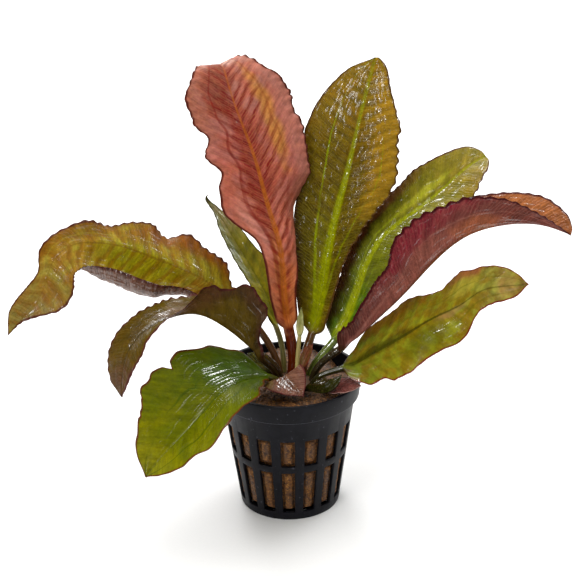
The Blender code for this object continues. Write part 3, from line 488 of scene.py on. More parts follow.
# Lengths are in millimetres and angles in degrees. Values in a row lie at even steps from the
# blade's foot to its tip, and heading's and twist's along the whole leaf.
# Form: path is the midrib, heading the way to the leaf's tip seen from above, stalk its bare
# length and stem its half width. left and right are the halves' widths, fold the angle at which
# each leaves the midrib, curl how far it turns on the way out, the later the higher bend is, and
# wave how high its margin lies. crimp, lobe and bump are (height, length) of the margin's finer
# waves: up and down, scallops in its outline, and the outline's slow wandering; frill is the share of
# them that each half has, and nicks are its notches (place along the blade, depth, half width).
# pucker is the quilting between side veins.
# Colour: blade runs from the foot to the tip, and the marks lie on it in this order: blotch (colour,
# strength, size), edge (colour, width, strength), zones, bands (colour, strength, spacing, lean,
# reach from the midrib), fine veins (colour, strength, spacing, lean left and right), a side vein in
# each half (colour, strength left and right, place in each half, width), rib (colour, strength,
# width) and rim (colour, width). under is the lower side's ground, its veins and their strength.
# A zone is (share of the width, with the left half above 0, share of the blade, half width,
# half length, colour, strength), and a wetZone the same without a colour. wet adds water all over,
# streak is the water's patches (length, width), stripes the strength of the stalk's stripes, gloss
# the dry skin's roughness, and emboss the strength of its relief
leaves = [
    dict(
        name="redUpright", node="leaf_red_upright",
        path=((1.5, 1, 50.3), (2, 2, 56), (0.5, 4, 68), (-1, 8, 83.5), (-2, 12, 96.5), (-6, 18, 110),
              (-10.5, 25, 126), (-17.5, 34, 144), (-20, 39, 151), (-22, 46, 155), (-24, 54, 153)),
        heading=(105,), stalk=18, stem=1.95,
        left=(4, 5, 6, 6.4, 7, 8.3, 13.3, 17.6, 17, 14.3, 18, 14.5, 17.5, 17.5, 13, 9.5, 4),
        right=(4, 4.2, 4.5, 6, 7.5, 10.3, 14, 18, 21, 21, 22, 20.7, 21, 19, 13.5, 8.5, 4),
        foldLeft=(10, 10, 10, 10, 10, 10, 10, 5, 0), foldRight=(10, 10, 0, 0, 10, 10, 15, 20, 20),
        curlLeft=(0, 0, -20, -10, 0, -10, -20, -10, 0), curlRight=(0, 0, -60, -90, -50, -30, -20, 0, 0),
        frillLeft=(0.1, 0.1, 0.1, 0.3, 0.4, 0.7, 1, 1, 1),
        frillRight=(0.1, 0.1, 0.2, 0.3, 0.6, 0.8, 1, 1, 1), crimp=(0.5, 3.2), lobe=(0.5, 2.7),
        bump=(0.3, 8),
        stalkColour="#5c200c", blade=("#bc7044", "#c07464", "#a66058", "#9c685e"),
        blotch=("#a44a34", 0.5, 6), edge=("#b4705c", 3.5, 0.35), rim=("#4c1a14", 0.85),
        bands=("#681416", 0.85, 4.6, 1.1, 0.65), fine=("#cc8c5c", 0.25, 1.2, 0.9, 0.8),
        side=("#74201a", 0.65, 0.3, 0.5, 0.55, 1.6), rib=("#ac6028", 0.8, 0.9),
        under=("#5a2418", "#8a5a3c", 0.3),
        # Of these zones, the pale one at the tip is painted sheen and the gold one on the right half a
        # painted highlight. The two pale pink ones are partly the leaf's own pink and partly painted
        # sheen
        zones=((0.9, 0.8, 0.35, 0.2, "#8e5444", 0.7), (-0.5, 0.7, 0.16, 0.22, "#c08640", 0.7),
               (0.3, 0.86, 0.45, 0.16, "#6c2c20", 0.8), (0.1, 0.55, 0.35, 0.3, "#7c201c", 0.75),
               (-0.85, 0.6, 0.25, 0.3, "#bc7c70", 0.6), (-0.5, 0.12, 0.7, 0.14, "#ac5c30", 0.7),
               (-0.25, 0.97, 0.4, 0.06, "#c4a090", 0.9), (0.2, 0.93, 0.25, 0.05, "#7c4030", 0.8),
               (0.6, 0.35, 0.2, 0.12, "#cc8c80", 0.6), (0.3, 0.22, 0.2, 0.1, "#cc8450", 0.7)),
        wet=-0.3, gloss=0.4, emboss=0.4,
    ),
    dict(
        name="bronzeUpright", node="leaf_bronze_upright",
        path=((5.5, 2.8, 50.3), (6, 3.5, 55), (9, 6.5, 64), (12.5, 11, 77), (16, 18, 93.5),
              (19, 24, 104.5), (23, 30, 117.5), (28, 38, 136), (32, 45, 149), (34.5, 50, 156.5)),
        heading=(60,), stalk=15, stem=1.6,
        left=(4, 7, 9, 10.6, 12, 13.6, 15, 16, 16.8, 17.9, 18.7, 19.3, 18.5, 16.8, 13.8, 9.5, 0),
        right=(5, 5.7, 6.5, 7.4, 8.5, 11, 14, 17.2, 20.5, 22.8, 22.4, 20, 19, 15.3, 10.8, 7.5, 3),
        foldLeft=(20, 15, 10), foldRight=(20, 15, 5), curlLeft=(0, 10, -10),
        frillLeft=(0.2,), frillRight=(0.1, 0.2, 0.4, 0.8, 1, 1, 0.8, 0.5, 0.5), crimp=(0.6, 3.6),
        lobe=(0.6, 3.4), bump=(0.4, 9),
        stalkColour="#5c3a18", blade=("#605408", "#4c4008", "#5c460a", "#8a661a"),
        blotch=("#6c5c0c", 0.4, 8), edge=("#6a4a10", 4, 0.5), rim=("#4a3014", 0.8),
        bands=("#302604", 0.5, 4.4, 0.5, 0.95), fine=("#8e8234", 0.3, 1.15, 0.55, 0.2),
        side=("#7e880e", 0.9, 0.45, 0.5, 0.69, 1), rib=("#868c12", 0.95, 1.8),
        under=("#5a4a1c", "#7c6c34", 0.4),
        zones=((0.75, 0.3, 0.35, 0.25, "#463c04", 0.7), (-0.75, 0.3, 0.4, 0.22, "#443804", 0.7),
               (-0.7, 0.68, 0.4, 0.3, "#a07826", 0.7), (0.3, 0.2, 0.25, 0.3, "#6c6c0c", 0.5),
               (1.0, 0.2, 0.25, 0.35, "#3a2410", 0.9)),
        wetZones=((-0.3, 0.62, 0.32, 0.3, 0.85), (-0.5, 0.9, 0.4, 0.1, 0.7),
                  (0.4, 0.85, 0.4, 0.15, 0.55)), streak=(4, 1.4), gloss=0.32, emboss=1.0,
    ),
    dict(
        name="greenRight", node="leaf_green_right",
        path=((8, 0, 50.3), (9.5, 0, 54), (17.5, 2.6, 63.7), (22, 5.2, 71), (27.5, 8.5, 84.8),
              (34, 11.5, 98.3), (44, 13.6, 106.8), (57.5, 16.6, 116.8), (68, 18.6, 125.3),
              (73, 19.6, 127.8)),
        heading=(25,), stalk=16.5, stem=1.6,
        left=(8, 8, 8.7, 9.2, 9.5, 9.6, 10, 10.2, 11.2, 12.5, 14, 15.2, 16, 14.5, 12.6, 10.5, 7),
        right=(6, 8, 9.5, 10.5, 11.5, 12.4, 13.3, 14.3, 15.4, 16.6, 18, 19, 20.5, 19.5, 16.5, 12, 8),
        foldLeft=(30, 20, 10), foldRight=(0, 0, 5),
        frillLeft=(0.6, 0.6, 0.7, 0.8, 1, 0.9, 0.6, 0.2, 0.2), frillRight=(1, 1, 1, 1, 1, 1, 1, 1, 0.5),
        crimp=(0.35, 3.2), lobe=(0.35, 3), bump=(0.3, 12),
        stalkColour="#5c6828", blade=("#3c5a10", "#566018", "#74701c", "#847228"),
        blotch=("#56560a", 0.35, 6), edge=("#5c3a1c", 2.2, 0.5), rim=("#44201c", 0.8),
        bands=("#3c4406", 0.3, 6, 0.6, 0.9), fine=("#8c9028", 0.1, 1.2, 0.7, 0.5),
        side=("#8e9820", 0.5, 0.2, 0.3, 0.5, 1), rib=("#949a1c", 0.95, 1.6),
        under=("#5c5a1c", "#7c7a3c", 0.3),
        zones=((0.95, 0.28, 0.55, 0.32, "#3c1c12", 0.95), (-0.4, 0.12, 0.6, 0.14, "#446c08", 0.7),
               (0.28, 0.68, 0.15, 0.16, "#a8a434", 0.8), (-0.8, 0.9, 0.5, 0.1, "#7c6218", 0.6),
               (0.9, 0.6, 0.25, 0.2, "#704c20", 0.6), (0.9, 0.45, 0.25, 0.3, "#5c2c1c", 0.8)),
        wetZones=((-0.1, 0.6, 0.5, 0.3, 0.4), (0.4, 0.85, 0.5, 0.12, 0.1), (-0.5, 0.25, 0.4, 0.2, 0.5)),
        streak=(4, 1.4), stripes=4, gloss=0.32, emboss=0.7,
    ),
    dict(
        name="purpleRight", node="leaf_purple_right",
        path=((8.8, -3.8, 50.3), (10, -4, 54), (17, -5, 62), (25, -6.6, 68.6), (30, -8, 74.2),
              (41, -10.2, 86.8), (52.5, -12.2, 101.3), (64, -13.7, 111.2), (75, -14.2, 114.6),
              (89, -15, 114.5), (99, -16, 111)),
        heading=(-10,), stalk=17, stem=1.5,
        left=(5, 6, 10, 12, 14, 15, 14.5, 13, 6),
        right=(6, 6.5, 10, 12, 17, 15, 13.5, 7, 0),
        foldLeft=(65, 60, 50, 40, 30, 30), foldRight=(85, 85, 80, 80, 70, 50),
        curlRight=(0, 0, 0, 0, -20, -40),
        frillLeft=(0.25,), frillRight=(1, 1, 1, 1, 1, 0.5, 0.3, 0.3), crimp=(0.9, 3.3), lobe=(0.9, 3.1),
        bump=(0.3, 12), pucker=0.1,
        stalkColour="#2c2410", blade=("#7a4a28", "#8a5028", "#95582c", "#985c34"),
        blotch=("#7c3c24", 0.35, 7), edge=("#84482a", 3, 0.4), rim=("#401216", 1.0),
        bands=("#5c2418", 0.35, 5, 0.9, 0.9), fine=("#a86c44", 0.12, 1.3, 0.8, 0.7),
        side=("#9c5c38", 0.6, 0.6, 0.5, 0.5, 1), rib=("#a06038", 0.7, 0.8),
        under=("#6c3a34", "#a0685a", 0.3),
        zones=((0.6, 0.85, 0.6, 0.12, "#a8683c", 0.5),),
        backZones=((-0.95, 0.5, 0.5, 0.25, "#78202e", 0.85), (-0.8, 0.08, 0.9, 0.12, "#40221e", 0.8),
                   (-0.15, 0.45, 0.35, 0.3, "#94584a", 0.6), (-0.5, 0.85, 0.8, 0.12, "#5c2a22", 0.6),
                   (-0.2, 0.68, 0.3, 0.1, "#a05c3c", 0.7)),
        wetZones=((-0.08, 0.7, 0.14, 0.3, 0.6), (-0.7, 0.3, 0.3, 0.2, 0.25)), streak=(9, 0.7),
        emboss=1.1,
    ),
    dict(
        name="limeLowRight", node="leaf_lime_low_right",
        path=((8.5, -7.5, 50.3), (10, -7.5, 52.5), (19.5, -8, 57), (29.5, -10, 63.5), (41, -13, 72),
              (52.5, -16, 81), (61, -18, 86.5), (69, -20, 93), (75, -21, 94.5), (84, -23, 96)),
        heading=(-15,), twist=(20,), stalk=14, stem=1.2,
        left=(5, 7, 12, 13.7, 14.5, 15, 16.3, 15.3, 12.5, 11.3, 14.3, 15.6, 12.3, 11, 9.5, 5.8, 0),
        right=(6, 8.5, 12, 11.8, 15, 15, 13.5, 12.5, 12.5, 12.5, 11.5, 8.5, 7, 6.5, 6, 4.5, 0),
        foldLeft=(5,), foldRight=(-20,), curlRight=(0, 0, 0, -10, -50, -40, 0, 0, 0),
        crimp=(0.12, 4.0), lobe=(0.1, 3.5), bump=(0.2, 14),
        stalkColour="#2c2a0c", blade=("#6e7a24", "#80801e", "#868420", "#989440"),
        blotch=("#80480f", 0.5, 4), edge=("#80601c", 2.5, 0.4), rim=("#6c1c18", 0.6),
        bands=("#484c08", 0.3, 6, 0.7, 0.9), fine=("#8c8c30", 0.1, 1.3, 0.6, 0.6),
        side=("#5c600c", 0.4, 0.4, 0.5, 0.5, 1), rib=("#383806", 0.85, 0.9),
        under=("#6a6a1c", "#8a8a3c", 0.3),
        zones=((0.85, 0.3, 0.3, 0.25, "#8c5c14", 0.7), (-0.1, 0.62, 0.14, 0.1, "#a47c58", 0.45),
               (0.05, 0.2, 0.2, 0.2, "#342c04", 0.8), (0, 1.0, 0.8, 0.06, "#6c2020", 0.8),
               (0.9, 0.72, 0.3, 0.1, "#a85c40", 0.7), (0.5, 0.7, 0.3, 0.1, "#b0a440", 0.7),
               (0, 0.9, 0.9, 0.06, "#a8844c", 0.6), (-0.5, 0.45, 0.4, 0.15, "#5c5c08", 0.7)),
        wetZones=((-0.6, 0.08, 0.5, 0.1, 0.5), (0.5, 0.55, 0.3, 0.1, 0.3)), gloss=0.3, emboss=0.35,
    ),
    dict(
        name="slenderBack", node="leaf_slender_back",
        path=((-1.5, 3, 50.3), (-1.5, 4, 54), (-3, 8, 63), (-4.5, 10, 67), (-7.5, 14, 77),
              (-11, 17, 83), (-16, 21, 91), (-21, 25, 98.5), (-27, 29, 106.5), (-29, 29.5, 109.5),
              (-28, 28.5, 111.5)),
        heading=(140,), stalk=17, stem=1.1,
        left=(1.1, 4.5, 6, 6.5, 6.5, 5, 2, 0),
        right=(1.1, 4.5, 6.5, 7.5, 6, 4.5, 2, 0),
        foldLeft=(10,), foldRight=(10,),
        crimp=(0.12, 4.0), lobe=(0.08, 3.5), bump=(0.2, 14), pucker=0.15,
        stalkColour="#7a7440", blade=("#a09a28", "#988c24", "#968c30", "#9c9070"),
        blotch=("#45500c", 0.3, 6), edge=("#5c6418", 2, 0.3), rim=("#3c3810", 0.5),
        bands=("#3c4c08", 0.2, 6, 0.8, 0.9), fine=("#80864c", 0.12, 1.2, 0.8, 0.8),
        side=("#6c7a24", 0.3, 0.3, 0.5, 0.5, 1), rib=("#7a7c28", 0.7, 0.8),
        under=("#55551c", "#707038", 0.3),
        zones=((0.7, 0.6, 0.4, 0.35, "#7c8458", 0.6), (0, 1.0, 1, 0.08, "#3c2a1c", 0.8)),
        wetZones=((0.7, 0.6, 0.3, 0.3, 0.6),), gloss=0.3, emboss=0.4,
    ),
    dict(
        name="oliveLeft", node="leaf_olive_left",
        path=((-3, -0.5, 50.3), (-3.5, 0.5, 54), (-9, 3, 66), (-20, 6, 78.5), (-30, 8, 86),
              (-41.5, 9, 92), (-49.5, 9, 95.5), (-59, 9, 99.5), (-68, 8, 101.5), (-77, 6, 101.5),
              (-83, 3.5, 97.5), (-88.5, -1, 85), (-95.5, -4, 77.5), (-101, -5, 71)),
        heading=(180, 180, 180, 180, 180, 185, 205, 225, 225), twist=(-25,), stalk=30, stem=1.4,
        bend=1.9,
        left=(5, 9, 12, 14.5, 19.5, 25.5, 27, 26.5, 25.5, 21.5, 17, 14, 13, 11, 4.5, 1, 0),
        right=(8, 6, 14, 14.7, 17, 14.5, 15, 12.5, 9.5, 9.5, 9.5, 9.5, 6, 8.7, 10.5, 8.5, 0),
        waveRight=(0, 0, 0, -0.5, 0.5, -3.5, 0.5, 0.3, -0.6, 2, 0, 0.5, 0, 0, 0, 0, 0),
        foldLeft=(-20, -45, -45, -45, -40, -20, 0, 0, 0), foldRight=(0, 0, 0, 0, 0, -5, -20, -30, -30),
        curlLeft=(120, 160, 185, 195, 180, 100, 20, 0, 0),
        frillLeft=(1, 0.5, 0.5, 0.5, 0.4, 0.4, 0.6, 1, 1),
        frillRight=(1, 1, 1, 1, 1, 0.6, 0.2, 0.15, 0.15), crimp=(0.4, 2.6), lobe=(0.35, 2.6),
        bump=(0.2, 13), pucker=0.15,
        stalkColour="#5c3a1c", blade=("#6c581c", "#94862a", "#94842c", "#86743a"),
        blotch=("#8c4c18", 0.5, 6), edge=("#7c4c1c", 4, 0.65), rim=("#482014", 1.0),
        bands=("#6c4010", 0.6, 5, 0.5, 0.95), fine=("#544408", 0.4, 1.3, 0.35, 0.3),
        side=("#8e8030", 0.3, 0.3, 0.5, 0.5, 1), rib=("#6a4c12", 0.6, 0.6),
        under=("#5c3c30", "#a48878", 0.25),
        zones=((-0.85, 0.25, 0.45, 0.2, "#7c4018", 0.8), (-0.9, 0.6, 0.35, 0.2, "#704414", 0.7),
               (0, 0.92, 1.2, 0.1, "#685c2c", 0.6), (0.1, 0.38, 0.4, 0.18, "#8c8812", 0.7),
               (-0.3, 0.15, 0.4, 0.12, "#888020", 0.6), (-0.5, 0.58, 0.3, 0.12, "#745410", 0.7)),
        wetZones=((0.9, 0.4, 0.25, 0.3, 1.0), (0.5, 0.72, 0.3, 0.05, 0.5), (0.2, 0.9, 0.4, 0.06, 0.4)),
        stripes=3, emboss=0.6,
    ),
    dict(
        name="darkLeft", node="leaf_dark_left",
        path=((-3.2, -4.3, 50.3), (-4, -5, 54.5), (-9.5, -7, 62), (-17, -10, 71), (-24, -13, 78.5),
              (-32.5, -16, 84), (-42.5, -20, 84), (-52.5, -24, 78.5), (-56, -26, 73.5),
              (-58, -28, 66.5), (-58.5, -29, 57.5)),
        heading=(195, 195, 195, 195, 200, 205, 215, 220, 220), stalk=13, stem=2.1,
        left=(3, 3.5, 7.5, 15.3, 17, 18.5, 13, 14.5, 5, 3, 5, 6, 7.8, 6.9, 5.3, 3, 0),
        right=(2, 6, 9, 10.7, 12, 11.6, 11, 10.2, 12, 11.6, 12, 11, 11.5, 11.2, 10, 7.4, 0),
        foldLeft=(80, 80, 80, 75, 40, 5, 0, 0, 0), foldRight=(50, 50, 30, 5, 0, -5, 0),
        frillLeft=(0.3, 1, 1, 1, 0.3, 0.3, 0.3, 0.3, 0.3),
        frillRight=(0.5, 1, 1, 1, 1, 0.8, 0.4, 0.4, 0.4), crimp=(0.45, 3.2), lobe=(0.4, 3.2),
        bump=(0.2, 10),
        stalkColour="#342410", blade=("#403208", "#483608", "#544208", "#584014"),
        blotch=("#443010", 0.4, 6), edge=("#54362c", 2.5, 0.5), rim=("#48201c", 0.95),
        bands=("#38300a", 0.35, 5, 0.7, 0.9), fine=("#7c6c38", 0.12, 1.2, 0.6, 0.5),
        side=("#4c4414", 0.4, 0.4, 0.5, 0.5, 1), rib=("#2c2608", 0.7, 0.8),
        under=("#402e0c", "#5c4820", 0.3),
        zones=((0.2, 0.95, 1.2, 0.12, "#5c3c30", 0.6), (0.0, 0.5, 0.8, 0.1, "#5c4034", 0.5)),
        backZones=((0.95, 0.15, 0.35, 0.3, "#4c3024", 0.7), (0.3, 0.3, 0.4, 0.25, "#645018", 0.7),
                   (0.5, 0.45, 0.5, 0.1, "#5c382a", 0.6)),
        wetZones=((-0.3, 0.62, 0.6, 0.1, 1.1), (0.2, 0.7, 0.6, 0.12, 0.9), (0.4, 0.2, 0.5, 0.1, 0.15)),
        streak=(12, 0.6), stripes=3, gloss=0.28, emboss=0.6,
    ),
    dict(
        name="frontLeft", node="leaf_front_left",
        path=((-2, -8, 50.3), (-3.5, -9, 52.5), (-8, -12.5, 56.5), (-16, -20, 59), (-22, -27, 59.5),
              (-26, -32, 58), (-32, -38, 53.5), (-38.5, -43, 48.5), (-45, -47, 43), (-50, -50, 37.5)),
        heading=(228,), twist=(-25,), stalk=9, stem=1.5,
        left=(3, 5, 7, 10, 12.5, 15, 16.5, 15.5, 14, 15.2, 16.2, 15.5, 13.5, 12, 10, 5.5, 0),
        right=(6, 10.5, 13.5, 15.5, 17.5, 19.2, 21, 21.3, 22, 22.5, 22.3, 20.5, 17.2, 13.8, 10.9, 6.2,
               0),
        foldLeft=(35,), foldRight=(10,),
        nicksRight=((0.45, 2.4, 0.022), (0.78, 0.8, 0.015), (0.7, 0.7, 0.012)), crimp=(0.1, 4.2),
        lobe=(0.2, 4), bump=(0.6, 9), pucker=0.04,
        stalkColour="#4a4a18", blade=("#3a4c04", "#4c5806", "#646606", "#7c7810"),
        blotch=("#40500a", 0.4, 8), edge=("#5c6410", 3, 0.4), rim=("#5c2c14", 0.8),
        bands=("#2c4008", 0.12, 6, 0.8, 0.95), fine=("#6c7420", 0.08, 1.2, 0.8, 0.8),
        side=("#34480a", 0.6, 0.6, 0.5, 0.45, 1.2), rib=("#3c4c06", 0.7, 0.7),
        under=("#4c5214", "#6c7034", 0.3),
        zones=((-0.3, 0.25, 0.4, 0.2, "#3a5a06", 0.6), (0.2, 0.5, 0.5, 0.2, "#6c6c0c", 0.4),
               (0, 0.95, 1.3, 0.15, "#7c7820", 0.5)),
        wetZones=((-0.2, 0.3, 0.5, 0.12, 0.45), (0.3, 0.48, 0.5, 0.12, 0.5),
                  (0.85, 0.24, 0.35, 0.16, 0.85)), streak=(16, 0.5), emboss=0.35,
    ),
    dict(
        name="foldedFront", node="leaf_folded_front",
        path=((3.2, -8.2, 50.3), (1.4, -9, 52.8), (0, -10.6, 55), (-0.4, -12.6, 56.3), (0.9, -15, 56),
              (3, -18, 54.7), (5.6, -21, 52.4)),
        heading=(-55,), stalk=7.2, stem=1.1,
        left=(6.8, 6.6, 5.4, 3, 0),
        right=(9.5, 10, 8, 4.6, 0),
        foldLeft=(40, 35, 20, 5, 0), foldRight=(-10, -5, -5, 0),
        pucker=0.2,
        stalkColour="#5c3918", blade=("#5c3a22", "#704a3a", "#785044", "#845e50"),
        blotch=("#5c342c", 0.5, 4), edge=("#7c4c48", 1.5, 0.5), rim=("#542424", 0.5),
        bands=("#4c2818", 0.5, 3, 0.8, 0.9), fine=("#94705c", 0.4, 0.9, 0.6, 0.6),
        side=("#8a6450", 0.3, 0.3, 0.5, 0.5, 1), rib=("#7c5844", 0.6, 0.8),
        under=("#6a4a30", "#8a6a50", 0.3),
        zones=((-0.15, 0.4, 0.4, 0.4, "#44240e", 0.9), (-0.95, 0.1, 0.4, 0.3, "#7a6c34", 0.7)),
        wetZones=((-0.4, 0.4, 0.25, 0.4, 0.9), (-0.1, 0.3, 0.3, 0.3, 0.7)), gloss=0.26, emboss=0.8,
    ),
    dict(
        name="cuppedFront", node="leaf_cupped_front",
        path=((5.2, -11.4, 50.3), (6.7, -13.2, 51.7), (9, -15.8, 52.3), (13, -18.4, 52.8),
              (17.2, -18, 54.8), (19.2, -15.5, 58.8)),
        heading=(-20,), stalk=3, stem=1.0,
        left=(2, 5, 6.5, 5, 0),
        right=(2, 4.5, 5.5, 4.5, 0),
        foldLeft=(50,), foldRight=(60,),
        pucker=0.15,
        stalkColour="#3a3008", blade=("#241a04", "#2c2006", "#38280c", "#4c3c18"),
        blotch=("#2a2408", 0.5, 4), edge=("#4c4820", 1.2, 0.5), rim=("#3a2c14", 0.4),
        bands=("#20200a", 0.4, 3, 0.8, 0.9), fine=("#5c5c34", 0.3, 1.0, 0.6, 0.6),
        side=("#3c3c14", 0.3, 0.3, 0.5, 0.5, 1), rib=("#20200a", 0.7, 0.8),
        under=("#2c2c08", "#444420", 0.3),
        wet=0.35, gloss=0.2, emboss=0.8,
    ),
    dict(
        name="smallLeft", node="leaf_small_left",
        path=((-5.6, -2.6, 50.3), (-7, -3, 53.4), (-10.5, -2.2, 57), (-14.8, 0, 60.5)),
        heading=(160,), stalk=3.5, stem=1.0,
        left=(3, 6, 6.5, 5, 0),
        right=(3, 5, 5, 4, 0),
        foldLeft=(10,), foldRight=(10,),
        crimp=(0.2, 3.0), pucker=0.25,
        stalkColour="#2c220c", blade=("#4c4010", "#5e5210", "#6c6414", "#787018"),
        blotch=("#241c10", 0.7, 3), edge=("#565a20", 1.4, 0.6), rim=("#3c3c14", 0.4),
        bands=("#1c1c0a", 0.6, 2.2, 0.8, 0.9), fine=("#80804c", 0.4, 0.9, 0.6, 0.6),
        side=("#3c3c14", 0.3, 0.3, 0.5, 0.5, 1), rib=("#24240c", 0.7, 0.8),
        under=("#343410", "#50502a", 0.3),
        wet=0.2, gloss=0.2, emboss=1.6,
    ),
    dict(
        name="redRim", node="leaf_red_rim",
        path=((8.9, -10, 50.3), (10.5, -11, 51.7), (14, -12.4, 52), (18, -14.2, 52.5),
              (22, -15.5, 53.4), (26.5, -16, 54.1)),
        heading=(-20,), stalk=4, stem=0.9,
        left=(2, 5, 6, 5, 0),
        right=(2, 4, 5, 4, 0),
        foldLeft=(10,), foldRight=(0,),
        crimp=(0.15, 3.4), pucker=0.2,
        stalkColour="#4e211b", blade=("#50201c", "#5a2a26", "#683834", "#744a42"),
        blotch=("#50241f", 0.5, 3), edge=("#94645c", 1.2, 0.6), rim=("#a07c74", 0.3),
        bands=("#441a16", 0.4, 3, 0.8, 0.9), fine=("#94685e", 0.25, 0.9, 0.6, 0.6),
        side=("#84544c", 0.3, 0.3, 0.5, 0.5, 1), rib=("#7c403a", 0.6, 0.8),
        under=("#6a3c36", "#84584f", 0.3),
        wet=0.1, gloss=0.28, emboss=1.2,
    ),
    dict(
        name="youngBlade", node="leaf_young_blade",
        path=((3.2, -1.2, 50.3), (3.5, 0, 56), (4.5, 3, 65.5), (5.3, 5, 76)),
        heading=(80,), stalk=15, stem=0.8,
        left=(0.8, 1.5, 1.2, 0),
        right=(0.8, 1.5, 1.2, 0),
        foldLeft=(20,), foldRight=(20,),
        crimp=(0.05, 3.4), lobe=(0.03, 3.4), bump=(0.1, 8), pucker=0.05,
        stalkColour="#b4a468", blade=("#c4b884", "#ccc48c", "#c4c48c", "#b8be88"),
        blotch=("#6c682c", 0.3, 4), edge=("#b8b078", 0.8, 0.4), rim=("#94945c", 0.25),
        bands=("#5c5c24", 0.2, 4, 0.8, 0.9), fine=("#949458", 0.2, 1.0, 0.6, 0.6),
        side=("#80843c", 0.2, 0.2, 0.5, 0.5, 1), rib=("#94984c", 0.6, 0.8),
        under=("#7c7c44", "#8c8c54", 0.3),
        wet=0.1, gloss=0.32, emboss=0.3,
    ),
    dict(
        name="pinkBud", node="leaf_pink_bud",
        path=((5.3, -2.6, 50.3), (5.6, -2.5, 54), (7, -1, 59), (9.3, 0.5, 63.5)),
        heading=(40,), stalk=4, stem=1.0,
        left=(1, 2.2, 2.2, 0),
        right=(1, 3, 3, 0),
        foldLeft=(20,), foldRight=(20,),
        crimp=(0.05, 3.4), lobe=(0.03, 3.4), bump=(0.1, 8), pucker=0.08,
        stalkColour="#6b3a1c", blade=("#50240e", "#542610", "#5a2e16", "#643c20"),
        blotch=("#484c10", 0.6, 5), edge=("#7c4a34", 0.8, 0.4), rim=("#6c342c", 0.3),
        bands=("#4c2414", 0.3, 3, 0.8, 0.9), fine=("#946450", 0.3, 0.9, 0.6, 0.6),
        side=("#7c5040", 0.2, 0.2, 0.5, 0.5, 1), rib=("#84543c", 0.6, 0.8),
        under=("#5c3824", "#74503c", 0.3),
        wet=0.1, gloss=0.3, emboss=0.5,
    ),
]


def splineThrough(path):
    # natural cubic spline set out along the path's chords, as 900 points and their distances along it
    knots = np.array(path, float)
    chord = np.r_[0, np.cumsum(np.linalg.norm(np.diff(knots, axis=0), axis=1))]
    gap = np.diff(chord)
    count = len(knots)
    inner = np.arange(1, count - 1)
    system = np.eye(count)
    system[inner, inner - 1] = gap[:-1]
    system[inner, inner] = 2 * (gap[:-1] + gap[1:])
    system[inner, inner + 1] = gap[1:]
    slope = np.diff(knots, axis=0) / gap[:, None]
    target = np.zeros((count, 3))
    target[1:-1] = 6 * np.diff(slope, axis=0)
    bends = np.linalg.solve(system, target)
    reads = np.linspace(0, chord[-1], 900)
    k = np.clip(np.searchsorted(chord, reads, side="right") - 1, 0, count - 2)
    left = (chord[k + 1] - reads)[:, None]
    right = (reads - chord[k])[:, None]
    span = gap[k][:, None]
    curve = (bends[k] * left ** 3 + bends[k + 1] * right ** 3) / (6 * span)
    curve += (knots[k] / span - bends[k] * span / 6) * left
    curve += (knots[k + 1] / span - bends[k + 1] * span / 6) * right
    return curve, np.r_[0, np.cumsum(np.linalg.norm(np.diff(curve, axis=0), axis=1))]


def evenSteps(values, share):
    # smooth curve through values at even steps, whose slopes are harmonic means, so it never
    # overshoots a value
    values = np.array(values, float)
    if len(values) == 1:
        return np.full_like(share, values[0])
    step = np.diff(values)
    rising = step[1:] * step[:-1] > 0
    total = np.where(rising, step[1:] + step[:-1], 1)
    slope = np.r_[step[0], np.where(rising, 2 * step[1:] * step[:-1] / total, 0), step[-1]]
    place = np.clip(share, 0, 1) * (len(values) - 1)
    k = np.clip(place.astype(int), 0, len(values) - 2)
    s = place - k
    return (values[k] * (1 + 2 * s) * (1 - s) ** 2 + slope[k] * s * (1 - s) ** 2
            + values[k + 1] * s ** 2 * (3 - 2 * s) + slope[k + 1] * s ** 2 * (s - 1))


def ripple(arc, length, phase, seed):
    # a sine of that length whose phase wanders, so that no two waves are alike
    turn = 2 * np.pi * arc / length + phase
    return np.sin(turn + 1.4 * np.sin(arc / (2.7 * length) + seed) + 0.8 * np.sin(arc / (1.3 * length)))


